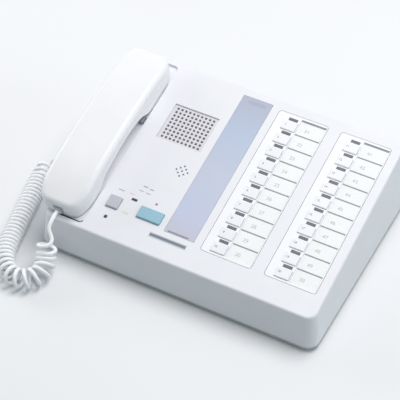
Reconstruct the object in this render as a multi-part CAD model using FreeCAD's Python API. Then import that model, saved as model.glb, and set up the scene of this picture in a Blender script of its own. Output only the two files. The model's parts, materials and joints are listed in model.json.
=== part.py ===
import FreeCAD, Part
import math
import os

# A desk intercom master station: a wedge-shaped console with a handset on a curly cord at its left,
# a speaker behind a grille, a strip down the middle and two columns of selector keys with a directory.
# Millimetres. Z = 0 is the table. X runs to the right and Y to the back, seen by the person who uses it.
# The origin lies on the table, under the middle of the console and the handset taken together.
# Places on the sloping top are (u, v, h): u to the right from its left edge, v up the slope from its
# front edge, h out of it.

V = FreeCAD.Vector
OVERRUN = 1.0  # how far a cutting tool runs past the face it cuts
SMALL_CORNER = 2.0  # corners up to this radius are cut straight
SMALL_ROD = 3.0  # rods and holes up to this radius have flat sides
ROD_SIDES = 8

# Console housing
TOP_WIDTH = 305.0
TOP_LENGTH = 225.0
SLOPE_DEG = 12.0
FRONT_HEIGHT = 46.0
WALL_FLARE = 5.0
TOP_CORNER_RADIUS = 10.0
BASE_CORNER_RADIUS = 13.0
EDGE_ROUND = 2.6
COVER_WALL = 3.0
COVER_BASE_Z = 7.0
FOOT_HEIGHT = 2.0
FOOT_RADIUS = 8.0
FOOT_RECESS = 0.6
FOOT_INSET = 26.0
TRAY_STEP = 1.4
TRAY_FLOOR = 2.5
TRAY_LIP = 2.0
TRAY_LIP_HEIGHT = 4.0
TRAY_RIB = 1.6
TRAY_RIB_HEIGHT = 3.0
FIT_GAP = 0.25
SEAT_GAP = 0.3

# Screws through the tray into posts under the top cover
POST_RADIUS = 4.5
POST_INSET_X = 11.5
POST_INSET_Y = 9.0
SCREW_RADIUS = 1.5
SCREW_HOLE_RADIUS = 1.9
SCREW_HEAD_RADIUS = 3.0
SCREW_HEAD_HEIGHT = 1.6
SCREW_LENGTH = 14.0
SCREW_WELL_DEPTH = 1.9
POST_BORE_DEPTH = 14.0

# Handset cradle, a shallow tray in the top that is open at its left side
CRADLE_RIGHT = 43.0
CRADLE_FRONT = 5.5
CRADLE_DEPTH = 3.0
CRADLE_CORNER = 5.0
CRADLE_RIDGE_WIDTH = 3.0
CRADLE_RIDGE_HEIGHT = 2.4
CRADLE_RIDGE_LENGTH = 24.0

# Handset, lying with its two ends on the cradle floor and its grip arched between them
HANDSET_U = 15.0
HANDSET_FRONT_GAP = 2.5
HANDSET_BACK_GAP = 5.5
HANDSET_WIDTH = 53.0
HANDSET_HEIGHT = 32.0
HANDSET_EDGE = 6.0
HANDSET_LOW_EDGE = 2.0
HANDSET_WALL = 3.0
HANDSET_SEAM = 0.3
CAPSULE_RADIUS = 16.5
CAPSULE_HEIGHT = 11.0
CAPSULE_RING = 1.6
CAPSULE_RING_HEIGHT = 4.5
RECEIVER_FROM_BACK = 25.0
MOUTHPIECE_FROM_FRONT = 24.5
MOUTHPIECE_RADIUS = 5.0
MOUTHPIECE_HEIGHT = 6.5
MOUTHPIECE_WELL = 6.6
HANDSET_HOLE_RADIUS = 1.0
RECEIVER_HOLE_PITCH = 4.2
MOUTH_HOLE_PITCH = 3.0
HANDSET_FRONT_PAD = 39.2  # the flat under its front end, up to the arch
HANDSET_BACK_PAD = 59.1  # the flat under its back end
HANDSET_RUN_OUT = 16.0  # how far the lines of its side view run past its ends
SEAM_END_SHARE = 0.33
# The handset's back seen from the side: place along it and height
HANDSET_TOP_SHARES = (
    (-0.095, 0.460),
    (0.170, 0.965),
    (0.520, 1.025),
    (0.825, 0.945),
    (1.060, 0.665),
)
# Its underside and its seam between the two flats: place along the arch and height
HANDSET_ARCH_SHARES = (
    (0.000, 0.000),
    (0.118, 0.385),
    (0.537, 0.545),
    (0.843, 0.415),
    (1.000, 0.000),
)
HANDSET_SEAM_SHARES = (
    (-0.038, 0.360),
    (0.138, 0.670),
    (0.537, 0.750),
    (0.824, 0.670),
    (1.032, 0.360),
)
# Plan of the handset: place along it and reach to each side
HANDSET_PLAN_SHARES = (
    (0.000, 0.370),
    (0.088, 0.500),
    (0.928, 0.500),
    (1.000, 0.385),
)

# Hook plunger, which the handset holds down
PLUNGER_U = 38.2
PLUNGER_PLACE_SHARE = 0.895  # of the handset's arch
PLUNGER_WIDTH = 5.0
PLUNGER_LENGTH = 8.5
PLUNGER_FLANGE = 1.0
PLUNGER_STEM = 3.0
PLUNGER_TRAVEL = 4.0
HOOK_SWITCH_WIDTH = 13.0
HOOK_SWITCH_DEPTH = 6.5
HOOK_SWITCH_HEIGHT = 7.0
HOOK_BOARD_THICK = 1.6

# Speaker behind its grille
GRILLE_U = 88.0
GRILLE_V = 153.0
GRILLE_WIDTH = 52.0
GRILLE_LENGTH = 46.0
GRILLE_CORNER = 2.0
GRILLE_SINK = 1.6
GRILLE_THICK = 1.5
GRILLE_FLANGE = 2.5
GRILLE_COLUMNS = 10
GRILLE_ROWS = 9
GRILLE_HOLE = 2.6
GRILLE_PITCH = 4.7
SPEAKER_RADIUS = 28.5
SPEAKER_RIM = 3.0
SPEAKER_RIM_THICK = 1.2
SPEAKER_DEPTH = 13.0
SPEAKER_BACK_RADIUS = 15.0
SPEAKER_SHEET = 0.8
CONE_THROAT = 7.0
CONE_THICK = 0.6
MAGNET_RADIUS = 16.0
MAGNET_HEIGHT = 8.0
YOKE_HEIGHT = 2.5

# Microphone behind its holes
MIC_U = 107.5
MIC_V = 102.5
MIC_HOLE_RADIUS = 1.1
MIC_HOLE_PITCH = 6.4
MIC_RADIUS = 4.9
MIC_HEIGHT = 5.0
MIC_BOOT_RADIUS = 7.0

# Function keys, lamps and the dark window in front of the strip
PRIVACY_U = 61.2
PRIVACY_V = 41.0
PRIVACY_WIDTH = 13.5
PRIVACY_LENGTH = 14.0
TALK_U = 103.2
TALK_V = 41.5
TALK_WIDTH = 26.5
TALK_LENGTH = 13.5
FUNCTION_RISE = 2.6
FUNCTION_TRAVEL = 1.5
KEY_GAP = 0.3
KEY_FLANGE = 1.1
KEY_FLANGE_THICK = 1.0
KEY_CORNER = 1.5
KEY_EDGE = 0.5
KEY_STEM_RADIUS = 2.0
LAMP_U = 61.0
LAMP_V = 22.6
LAMP_RADIUS = 2.0
LAMP_RISE = 0.6
MODE_LAMP_U = 79.0
MODE_LAMP_V = 52.0
MODE_LAMP_WIDTH = 6.0
MODE_LAMP_LENGTH = 2.6
MODE_LAMP_CORNER = 0.8
WINDOW_U = 133.0
WINDOW_V = 22.4
WINDOW_WIDTH = 41.0
WINDOW_LENGTH = 3.0
WINDOW_CORNER = 1.0
WINDOW_SINK = 0.4

# Inlaid strip
STRIP_LEFT = 124.0
STRIP_RIGHT = 158.0
STRIP_FRONT = 31.5
STRIP_FROM_BACK = 11.0
STRIP_THICK = 0.8
STRIP_CORNER = 1.5

# Selector columns: ten rows of a key with a lamp window above it, beside a directory card
FIRST_LAMP_U = 185.7
COLUMN_PITCH = 70.9
PANEL_FROM_RIGHT = 10.0  # the least width of the top to the right of the last column
COLUMN_NAMES = ("left", "right", "third", "fourth")
ROW_PITCH = 17.9
FIRST_ROW_V = 44.2
ROW_SPARE_SHARE = 0.1  # of a pitch that the last row may lack
PANEL_FROM_BACK = 13.5
PANEL_LEFT = 18.2
PANEL_RIGHT = 37.9
PANEL_FRONT = 17.0
PANEL_BACK = 6.2
PANEL_CORNER = 3.0
PANEL_THICK = 1.6
PANEL_LEDGE = 2.2
PANEL_DEPTH = 4.2
PANEL_GAP = 0.5
SELECTOR_WIDTH = 15.6
SELECTOR_LENGTH = 11.4
SELECTOR_OFFSET_U = -0.9
SELECTOR_OFFSET_V = -8.7
SELECTOR_RISE = 1.3
SELECTOR_TRAVEL = 1.2
WINDOW_LAMP_WIDTH = 10.0
WINDOW_LAMP_LENGTH = 3.4
WINDOW_LAMP_CORNER = 0.6
CARD_LEFT = 8.4
CARD_WIDTH = 28.4
CARD_MARGIN = 2.6
CARD_THICK = 0.3
CARD_COVER_THICK = 0.9
CARD_CORNER = 1.0
CARD_RIB = 0.9
CARD_RIB_RISE = 0.35

# Boards under the top
BOARD_DEPTH = 12.0
BOARD_THICK = 1.6
BOARD_MARGIN = 3.0
SWITCH_SIZE = 6.0
SWITCH_BODY = 3.4
SWITCH_TIP_RADIUS = 1.7
LED_RADIUS = 1.5
LED_HEIGHT = 5.6
BOARD_POST_RADIUS = 3.0
FUNCTION_BOARD_LEFT = 50.0
FUNCTION_BOARD_RIGHT = 122.0
FUNCTION_BOARD_FRONT = 14.0
FUNCTION_BOARD_BACK = 112.0

# Main board in the tray
MAIN_LEFT = 62.0
MAIN_FROM_RIGHT = 21.0
MAIN_FRONT = 30.0
MAIN_FROM_BACK = 4.0
MAIN_RAISE = 5.0
STAND_OFF_RADIUS = 3.0
TRANSFORMER_SIZE = 30.0
TRANSFORMER_HEIGHT = 22.0
COIL_FORMER_SHARE = 0.55
CAPACITOR_RADIUS = 5.0
CAPACITOR_HEIGHT = 14.0
CHIP_WIDTH = 7.0
CHIP_LENGTH = 20.0
CHIP_HEIGHT = 3.6
RELAY_WIDTH = 10.0
RELAY_LENGTH = 20.0
RELAY_HEIGHT = 11.0

# Line connector in the back wall
LINE_FROM_RIGHT = 38.0
LINE_WIDTH = 62.0
LINE_HEIGHT = 13.0
LINE_WALL = 1.6
LINE_DEPTH = 14.0
LINE_TAPER = 1.4
LINE_TONGUE = 3.0
LINE_CAVITY = 9.0
LINE_SINK = 1.0

# Modular jacks and plugs
JACK_WIDTH = 12.0
JACK_HEIGHT = 11.0
JACK_LENGTH = 15.0
JACK_WALL = 1.6
PLUG_WIDTH = 7.7
PLUG_HEIGHT = 6.6
PLUG_LENGTH = 11.7
PLUG_PROUD = 2.5
BASE_JACK_Y = 108.0
BASE_JACK_Z = 19.0

# Curly cord. The route is (x, y, z) with x from the top's left edge, y from its front edge.
WIRE_DIAMETER = 4.0
COIL_DIAMETER = 22.0
CURL_GAP = 1.0
LEAD_SIDES = 8
CURL_SIDES = 6
HANDSET_LEAD_ROUTE = (
    (15.2, -11.2, 48.6),
    (15.6, -18.6, 41.6),
)
COIL_ROUTE = (
    (17.6, -24.2, 25.0),
    (20.0, -32.2, 15.2),
    (22.9, -45.2, 11.4),
    (17.0, -57.2, 11.4),
    (5.3, -63.4, 11.4),
    (-8.7, -60.4, 11.4),
    (-19.5, -49.5, 11.4),
    (-26.1, -35.3, 11.4),
    (-30.6, -19.3, 11.4),
    (-34.2, -1.3, 11.4),
    (-38.2, 16.7, 11.4),
    (-41.8, 35.2, 11.4),
    (-46.2, 54.2, 11.4),
    (-49.8, 71.2, 11.4),
    (-50.6, 84.7, 11.6),
    (-43.4, 95.9, 12.8),
)
BASE_LEAD_ROUTE = (
    (-24.5, 106.6, 16.8),
)
ARC_SHARE = 0.45
ROUTE_STEPS = 24

SLOPE = math.radians(SLOPE_DEG)
TOP_DEPTH = TOP_LENGTH * math.cos(SLOPE)
CRADLE_BACK = TOP_LENGTH - CRADLE_FRONT
HANDSET_START = CRADLE_FRONT + HANDSET_FRONT_GAP
HANDSET_LENGTH = CRADLE_BACK - HANDSET_BACK_GAP - HANDSET_START
HANDSET_REST = -CRADLE_DEPTH + SEAT_GAP
HANDSET_JACK_H = HANDSET_REST + HANDSET_WALL + FIT_GAP + JACK_HEIGHT / 2
RECEIVER_V = HANDSET_START + HANDSET_LENGTH - RECEIVER_FROM_BACK
MOUTHPIECE_V = HANDSET_START + MOUTHPIECE_FROM_FRONT
ARCH_START = HANDSET_START + HANDSET_FRONT_PAD
ARCH_LENGTH = HANDSET_LENGTH - HANDSET_FRONT_PAD - HANDSET_BACK_PAD
PLUNGER_V = ARCH_START + PLUNGER_PLACE_SHARE * ARCH_LENGTH
LEFT_REACH = max(WALL_FLARE, HANDSET_WIDTH / 2 - HANDSET_U)
X_ORIGIN = (LEFT_REACH - TOP_WIDTH - WALL_FLARE) / 2
Y_ORIGIN = -TOP_DEPTH / 2
COLUMNS_WIDTH = TOP_WIDTH - PANEL_FROM_RIGHT - PANEL_RIGHT - FIRST_LAMP_U
COLUMN_COUNT = math.floor(COLUMNS_WIDTH / COLUMN_PITCH) + 1
COLUMN_LAMP_US = [FIRST_LAMP_U + column * COLUMN_PITCH for column in range(COLUMN_COUNT)]
ROWS_LENGTH = TOP_LENGTH - PANEL_FROM_BACK - PANEL_BACK - FIRST_ROW_V
ROW_COUNT = math.floor(ROWS_LENGTH / ROW_PITCH + ROW_SPARE_SHARE) + 1
PANEL_LOW_V = FIRST_ROW_V - PANEL_FRONT
PANEL_HIGH_V = FIRST_ROW_V + (ROW_COUNT - 1) * ROW_PITCH + PANEL_BACK
STRIP_BACK = TOP_LENGTH - STRIP_FROM_BACK
MAIN_RIGHT = TOP_WIDTH - MAIN_FROM_RIGHT
MAIN_BACK = TOP_DEPTH - MAIN_FROM_BACK
LINE_U = TOP_WIDTH - LINE_FROM_RIGHT - LINE_WIDTH / 2


def stand(shape):
    """Places a shape given in x, y, z from the top's front left corner."""
    shape.translate(V(X_ORIGIN, Y_ORIGIN, 0))
    return shape


def lay(shape):
    """Places a shape given in u, v, h on the sloping top."""
    shape.rotate(V(0, 0, 0), V(1, 0, 0), SLOPE_DEG)
    shape.translate(V(X_ORIGIN, Y_ORIGIN, FRONT_HEIGHT))
    return shape


def at_top(u, v, h):
    """The place of a point given in u, v, h."""
    y = v * math.cos(SLOPE) - h * math.sin(SLOPE)
    z = v * math.sin(SLOPE) + h * math.cos(SLOPE)
    return V(X_ORIGIN + u, Y_ORIGIN + y, FRONT_HEIGHT + z)


def block(low, high):
    return Part.makeBox(high[0] - low[0], high[1] - low[1], high[2] - low[2], V(*low))


def rounded_wire(x0, y0, x1, y1, r, z):
    """A rectangle with round corners at height z, or with cut corners where they are small."""
    s = r * (1 - math.sqrt(0.5))
    if r <= SMALL_CORNER:
        ring = [(x0 + s, y0), (x1 - s, y0), (x1, y0 + s), (x1, y1 - s)]
        ring += [(x1 - s, y1), (x0 + s, y1), (x0, y1 - s), (x0, y0 + s), (x0 + s, y0)]
        return Part.makePolygon([V(x, y, z) for x, y in ring])
    corners = (
        (V(x1 - r, y0, z), V(x1 - s, y0 + s, z), V(x1, y0 + r, z)),
        (V(x1, y1 - r, z), V(x1 - s, y1 - s, z), V(x1 - r, y1, z)),
        (V(x0 + r, y1, z), V(x0 + s, y1 - s, z), V(x0, y1 - r, z)),
        (V(x0, y0 + r, z), V(x0 + s, y0 + s, z), V(x0 + r, y0, z)),
    )
    edges = []
    for i, corner in enumerate(corners):
        edges.append(Part.LineSegment(corners[i - 1][2], corner[0]).toShape())
        edges.append(Part.Arc(*corner).toShape())
    return Part.Wire(edges)


def slab(cu, cv, width, length, r, low, high):
    """A plate with round corners, centred at cu, cv, from low to high."""
    half_w = width / 2
    half_l = length / 2
    wire = rounded_wire(cu - half_w, cv - half_l, cu + half_w, cv + half_l, r, low)
    return Part.Face(wire).extrude(V(0, 0, high - low))


def rod(cu, cv, r, low, high):
    """An upright rod, with flat sides where it is thin."""
    if r > SMALL_ROD:
        return Part.makeCylinder(r, high - low, V(cu, cv, low))
    ring = [(i + 0.5) * 2 * math.pi / ROD_SIDES for i in range(ROD_SIDES + 1)]
    corners = [V(cu + r * math.cos(a), cv + r * math.sin(a), low) for a in ring]
    return Part.Face(Part.makePolygon(corners)).extrude(V(0, 0, high - low))


def cut_all(shape, tools):
    return shape.cut(Part.makeCompound(tools))


def fuse_all(shape, others):
    return shape.fuse(others).removeSplitter()


def top_edges(shape, height):
    """The edges of a shape that lie at a height."""
    return [e for e in shape.Edges if all(abs(p.z - height) < COVER_WALL / 1000 for p in e.discretize(3))]


def wedge(inset, drop, low):
    """The console's outer form, taken in by inset at its walls and by drop at its top, down to z = low."""
    spread = WALL_FLARE * (FRONT_HEIGHT - low) / (FRONT_HEIGHT - COVER_BASE_Z) - inset
    base_round = max(BASE_CORNER_RADIUS - inset, inset)
    top_round = max(TOP_CORNER_RADIUS - inset, inset)
    base = rounded_wire(-spread, -spread, TOP_WIDTH + spread, TOP_DEPTH + spread, base_round, low)
    top = rounded_wire(inset, inset, TOP_WIDTH - inset, TOP_LENGTH - inset, top_round, -drop)
    return Part.makeLoft([stand(base), lay(top)], True, True)


def cradle(grow, low, high):
    """The space of the handset's cradle, grown at its walls, open to the left."""
    left = -WALL_FLARE * 3
    wire = rounded_wire(
        left - grow, CRADLE_FRONT - grow, CRADLE_RIGHT + grow, CRADLE_BACK + grow, CRADLE_CORNER + grow, low
    )
    return lay(Part.Face(wire).extrude(V(0, 0, high - low)))


def screw_places():
    """The four posts, given in x, y from the top's front left corner."""
    return [
        (x, y)
        for x in (POST_INSET_X, TOP_WIDTH - POST_INSET_X)
        for y in (POST_INSET_Y, TOP_DEPTH - POST_INSET_Y)
    ]


def foot_places():
    return [
        (x, y)
        for x in (FOOT_INSET, TOP_WIDTH - FOOT_INSET)
        for y in (FOOT_INSET, TOP_DEPTH - FOOT_INSET)
    ]


def tray_floor_top():
    return FOOT_HEIGHT + TRAY_FLOOR


def grid_places(cu, cv, pitch, columns, rows):
    """A grid of places centred at cu, cv."""
    first_u = cu - pitch * (columns - 1) / 2
    first_v = cv - pitch * (rows - 1) / 2
    return [(first_u + i * pitch, first_v + j * pitch) for i in range(columns) for j in range(rows)]


def hex_places(cu, cv, pitch, rings):
    """A middle place with rings of six, twelve and so on around it."""
    places = [(cu, cv)]
    for ring in range(1, rings + 1):
        count = 6 * ring
        for i in range(count):
            a = 2 * math.pi * i / count
            places.append((cu + ring * pitch * math.cos(a), cv + ring * pitch * math.sin(a)))
    return places


def mic_hole_places():
    """A diamond of sound holes, three on each side."""
    places = []
    for i in range(3):
        for j in range(3):
            places.append((MIC_U + (i - j) * MIC_HOLE_PITCH / 2, MIC_V + (2 - i - j) * MIC_HOLE_PITCH / 2))
    return places


def row_v(row):
    return FIRST_ROW_V + row * ROW_PITCH


def selector_place(column, row):
    return COLUMN_LAMP_US[column] + SELECTOR_OFFSET_U, row_v(row) + SELECTOR_OFFSET_V


def panel_outline(column, grow, low, high):
    """The plate of one selector column, grown by grow."""
    lamp = COLUMN_LAMP_US[column]
    wire = rounded_wire(
        lamp - PANEL_LEFT - grow,
        PANEL_LOW_V - grow,
        lamp + PANEL_RIGHT + grow,
        PANEL_HIGH_V + grow,
        PANEL_CORNER + grow,
        low,
    )
    return Part.Face(wire).extrude(V(0, 0, high - low))


def function_keys():
    """Name, place and size of the two keys at the left."""
    return (
        ("privacy_key", PRIVACY_U, PRIVACY_V, PRIVACY_WIDTH, PRIVACY_LENGTH),
        ("talk_key", TALK_U, TALK_V, TALK_WIDTH, TALK_LENGTH),
    )


def board_post_places():
    """Posts that carry the selector board and the function board from the top."""
    ends = (PANEL_LOW_V + SWITCH_SIZE, PANEL_HIGH_V - SWITCH_SIZE)
    sides = [COLUMN_LAMP_US[0] - PANEL_LEFT - BOARD_POST_RADIUS]
    sides += [(a + PANEL_RIGHT + b - PANEL_LEFT) / 2 for a, b in zip(COLUMN_LAMP_US, COLUMN_LAMP_US[1:])]
    places = [(u, v) for u in sides for v in ends]
    inset = BOARD_POST_RADIUS + KEY_FLANGE
    for u in (FUNCTION_BOARD_LEFT + inset, FUNCTION_BOARD_RIGHT - inset):
        places.append((u, FUNCTION_BOARD_BACK - inset))
        places.append((u, FUNCTION_BOARD_FRONT + inset))
    return places


def jack_cut(x_low, x_high):
    """The window for the cord's jack in the left wall, in x, y, z from the top's front left corner."""
    half_w = JACK_WIDTH / 2 + FIT_GAP
    half_h = JACK_HEIGHT / 2 + FIT_GAP
    low = (x_low, BASE_JACK_Y - half_w, BASE_JACK_Z - half_h)
    high = (x_high, BASE_JACK_Y + half_w, BASE_JACK_Z + half_h)
    return stand(block(low, high))


def line_centre_z():
    return tray_floor_top() + MAIN_RAISE + BOARD_THICK + LINE_HEIGHT / 2 + LINE_WALL


def line_face_y():
    """The connector's outer face, a little inside the back wall."""
    rise = (line_centre_z() - COVER_BASE_Z) / (FRONT_HEIGHT + TOP_LENGTH * math.sin(SLOPE) - COVER_BASE_Z)
    return TOP_DEPTH + WALL_FLARE * (1 - rise) - COVER_WALL - LINE_SINK


def line_cut():
    """The window for the line connector in the back wall."""
    half_w = LINE_WIDTH / 2 + LINE_WALL + FIT_GAP
    half_h = LINE_HEIGHT / 2 + LINE_WALL + FIT_GAP
    low = (LINE_U - half_w, TOP_DEPTH - 3 * COVER_WALL, line_centre_z() - half_h)
    high = (LINE_U + half_w, TOP_DEPTH + 2 * WALL_FLARE, line_centre_z() + half_h)
    return stand(block(low, high))


def top_cover():
    outer = wedge(0, 0, COVER_BASE_Z)
    crest = [e for e in outer.Edges if all(on_top_face(p) for p in e.discretize(3))]
    outer = outer.makeFillet(EDGE_ROUND, crest)
    outer = outer.cut(cradle(0, -CRADLE_DEPTH, OVERRUN * 4))
    inner = wedge(COVER_WALL, COVER_WALL, COVER_BASE_Z - OVERRUN)
    inner = inner.cut(cradle(COVER_WALL, -CRADLE_DEPTH - COVER_WALL, 0))
    shell = outer.cut(inner)
    foot_h = tray_floor_top() + SEAT_GAP
    posts = [stand(rod(x, y, POST_RADIUS, foot_h, FRONT_HEIGHT * 3)) for x, y in screw_places()]
    posts += [lay(rod(u, v, BOARD_POST_RADIUS, -BOARD_DEPTH, 0)) for u, v in board_post_places()]
    inside = wedge(COVER_WALL / 2, COVER_WALL / 2, tray_floor_top()).cut(
        cradle(COVER_WALL / 2, -CRADLE_DEPTH - COVER_WALL / 2, 0)
    )
    posts = [post.common(inside) for post in posts]
    ridges = [
        lay(
            slab(
                HANDSET_U,
                v,
                CRADLE_RIDGE_LENGTH,
                CRADLE_RIDGE_WIDTH,
                CRADLE_RIDGE_WIDTH / 3,
                -CRADLE_DEPTH - COVER_WALL / 2,
                -CRADLE_DEPTH + CRADLE_RIDGE_HEIGHT,
            )
        )
        for v in ridge_places()
    ]
    shell = fuse_all(shell, posts + ridges)
    low = tray_floor_top()
    bores = [stand(rod(x, y, SCREW_RADIUS, low, low + POST_BORE_DEPTH)) for x, y in screw_places()]
    return cut_all(shell, bores + top_windows() + [jack_cut(-3 * WALL_FLARE, 2 * COVER_WALL), line_cut()])


def on_top_face(p):
    """Whether a point lies on the plane of the top."""
    y = p.y - Y_ORIGIN
    return abs(p.z - FRONT_HEIGHT - y * math.tan(SLOPE)) < COVER_WALL / 1000


def ridge_places():
    """Ribs across the cradle floor, just inside the two ends that the handset lies on."""
    inset = 2 * CRADLE_RIDGE_WIDTH
    return ARCH_START + inset, ARCH_START + ARCH_LENGTH - inset


def top_windows():
    """Everything that is cut through or into the top."""
    deep = -COVER_WALL - OVERRUN
    tools = [slab(GRILLE_U, GRILLE_V, GRILLE_WIDTH, GRILLE_LENGTH, GRILLE_CORNER, deep, OVERRUN)]
    for u, v in mic_hole_places():
        tools.append(rod(u, v, MIC_HOLE_RADIUS, deep, OVERRUN))
    for _, u, v, width, length in function_keys():
        wide = width + 2 * KEY_GAP
        tools.append(slab(u, v, wide, length + 2 * KEY_GAP, KEY_CORNER + KEY_GAP, deep, OVERRUN))
    tools.append(rod(LAMP_U, LAMP_V, LAMP_RADIUS + FIT_GAP / 2, deep, OVERRUN))
    tools.append(
        slab(
            MODE_LAMP_U,
            MODE_LAMP_V,
            MODE_LAMP_WIDTH + FIT_GAP,
            MODE_LAMP_LENGTH + FIT_GAP,
            MODE_LAMP_CORNER,
            deep,
            OVERRUN,
        )
    )
    wide = WINDOW_WIDTH + FIT_GAP
    tools.append(slab(WINDOW_U, WINDOW_V, wide, WINDOW_LENGTH + FIT_GAP, WINDOW_CORNER, deep, OVERRUN))
    tools.append(strip_form(FIT_GAP, -STRIP_THICK - FIT_GAP / 2, OVERRUN))
    for column in columns():
        tools.append(panel_outline(column, PANEL_GAP, -PANEL_THICK - FIT_GAP / 2, OVERRUN))
        tools.append(panel_outline(column, -PANEL_LEDGE, deep, OVERRUN))
    slot_w = PLUNGER_WIDTH + 2 * KEY_GAP
    slot_l = PLUNGER_LENGTH + 2 * KEY_GAP
    low = -CRADLE_DEPTH - COVER_WALL - OVERRUN
    tools.append(slab(PLUNGER_U, PLUNGER_V, slot_w, slot_l, KEY_CORNER, low, OVERRUN))
    return [lay(tool) for tool in tools]


def strip_form(grow, low, high):
    cu = (STRIP_LEFT + STRIP_RIGHT) / 2
    cv = (STRIP_FRONT + STRIP_BACK) / 2
    width = STRIP_RIGHT - STRIP_LEFT + 2 * grow
    return slab(cu, cv, width, STRIP_BACK - STRIP_FRONT + 2 * grow, STRIP_CORNER, low, high)


def name_strip():
    return lay(strip_form(0, -STRIP_THICK, 0))


def tray_outline(inset, low, high):
    """A straight-walled block inside the cover's foot, taken in by inset."""
    spread = WALL_FLARE - inset
    wire = rounded_wire(
        -spread, -spread, TOP_WIDTH + spread, TOP_DEPTH + spread, max(BASE_CORNER_RADIUS - inset, inset), low
    )
    return stand(Part.Face(wire).extrude(V(0, 0, high - low)))


def base_tray():
    lip_inset = COVER_WALL + WALL_FLARE * TRAY_LIP_HEIGHT / (FRONT_HEIGHT - COVER_BASE_Z) + FIT_GAP
    tray = tray_outline(TRAY_STEP, FOOT_HEIGHT, COVER_BASE_Z - FIT_GAP)
    lip = tray_outline(lip_inset, FOOT_HEIGHT, COVER_BASE_Z + TRAY_LIP_HEIGHT)
    tray = tray.fuse(lip)
    room = tray_outline(lip_inset + TRAY_LIP, tray_floor_top(), FRONT_HEIGHT)
    tray = tray.cut(room).removeSplitter()
    added = []
    for x in (MAIN_LEFT - TRANSFORMER_SIZE / 2, TOP_WIDTH / 2):
        low = (x, CAPSULE_RADIUS, FOOT_HEIGHT + TRAY_FLOOR / 2)
        high = (x + TRAY_RIB, TOP_DEPTH - CAPSULE_RADIUS, tray_floor_top() + TRAY_RIB_HEIGHT)
        added.append(stand(block(low, high)))
    for x, y in stand_off_places():
        top = tray_floor_top() + MAIN_RAISE
        added.append(stand(rod(x, y, STAND_OFF_RADIUS, FOOT_HEIGHT + TRAY_FLOOR / 2, top)))
    tray = fuse_all(tray, added)
    tools = []
    for x, y in screw_places():
        tools.append(stand(rod(x, y, SCREW_HOLE_RADIUS, 0, tray_floor_top() + OVERRUN)))
        tools.append(stand(rod(x, y, SCREW_HEAD_RADIUS + FIT_GAP, 0, FOOT_HEIGHT + SCREW_WELL_DEPTH)))
    for x, y in foot_places():
        tools.append(stand(rod(x, y, FOOT_RADIUS + FIT_GAP, 0, FOOT_HEIGHT + FOOT_RECESS)))
    half_w = LINE_WIDTH / 2 + LINE_WALL + FIT_GAP
    notch_z = line_centre_z() - LINE_HEIGHT / 2 - LINE_WALL - FIT_GAP
    notch_low = (LINE_U - half_w, TOP_DEPTH - WALL_FLARE, notch_z)
    notch_high = (LINE_U + half_w, TOP_DEPTH + 2 * WALL_FLARE, FRONT_HEIGHT)
    tools.append(stand(block(notch_low, notch_high)))
    return cut_all(tray, tools)


def rubber_feet():
    feet = []
    for x, y in foot_places():
        foot = rod(x, y, FOOT_RADIUS, 0, FOOT_HEIGHT + FOOT_RECESS)
        feet.append(stand(foot.makeChamfer(FOOT_HEIGHT / 4, top_edges(foot, 0))))
    return Part.makeCompound(feet)


def base_screws():
    screws = []
    for x, y in screw_places():
        seat = FOOT_HEIGHT + SCREW_WELL_DEPTH
        head = rod(x, y, SCREW_HEAD_RADIUS, seat - SCREW_HEAD_HEIGHT, seat)
        arm = SCREW_HEAD_RADIUS * 0.6
        low = seat - SCREW_HEAD_HEIGHT - OVERRUN
        bar = SCREW_RADIUS / 4
        cross = [
            block((x - arm, y - bar, low), (x + arm, y + bar, seat - SCREW_HEAD_HEIGHT / 2)),
            block((x - bar, y - arm, low), (x + bar, y + arm, seat - SCREW_HEAD_HEIGHT / 2)),
        ]
        screw = head.fuse(rod(x, y, SCREW_RADIUS - FIT_GAP / 10, seat - FIT_GAP, seat + SCREW_LENGTH))
        screws.append(stand(cut_all(screw, cross).removeSplitter()))
    return Part.makeCompound(screws)


def back_points(shift):
    """Points of the handset's back seen from the side, moved up by shift."""
    return [
        V(0, HANDSET_START + place * HANDSET_LENGTH, HANDSET_REST + rise * HANDSET_HEIGHT + shift)
        for place, rise in HANDSET_TOP_SHARES
    ]


def arch_points(shares, end_share, shift):
    """Points of a line along the handset's arch and on past its two ends, moved up by shift."""
    rows = [(HANDSET_START - HANDSET_RUN_OUT, end_share)]
    rows += [(ARCH_START + place * ARCH_LENGTH, rise) for place, rise in shares]
    rows.append((HANDSET_START + HANDSET_LENGTH + HANDSET_RUN_OUT, end_share))
    return [V(0, v, HANDSET_REST + rise * HANDSET_HEIGHT + shift) for v, rise in rows]


def under_points(shift):
    return arch_points(HANDSET_ARCH_SHARES, 0, shift)


def seam_points(shift):
    return arch_points(HANDSET_SEAM_SHARES, SEAM_END_SHARE, shift)


def height_at(points, v):
    """The height at v of straight runs from point to point."""
    for a, b in zip(points, points[1:]):
        if a.y <= v <= b.y:
            return a.z + (b.z - a.z) * (v - a.y) / (b.y - a.y)
    return points[-1].z


def across(points_below, points_above):
    """The solid between two runs of the side view, wider than the handset."""
    edges = path_wire(corner_arcs(points_below)).Edges + path_wire(corner_arcs(points_above)).Edges
    for end in (0, -1):
        edges.append(Part.LineSegment(points_below[end], points_above[end]).toShape())
    side = Part.Face(Part.Wire(Part.sortEdges(edges)[0]))
    side.translate(V(HANDSET_U - HANDSET_WIDTH, 0, 0))
    return side.extrude(V(2 * HANDSET_WIDTH, 0, 0))


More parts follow.
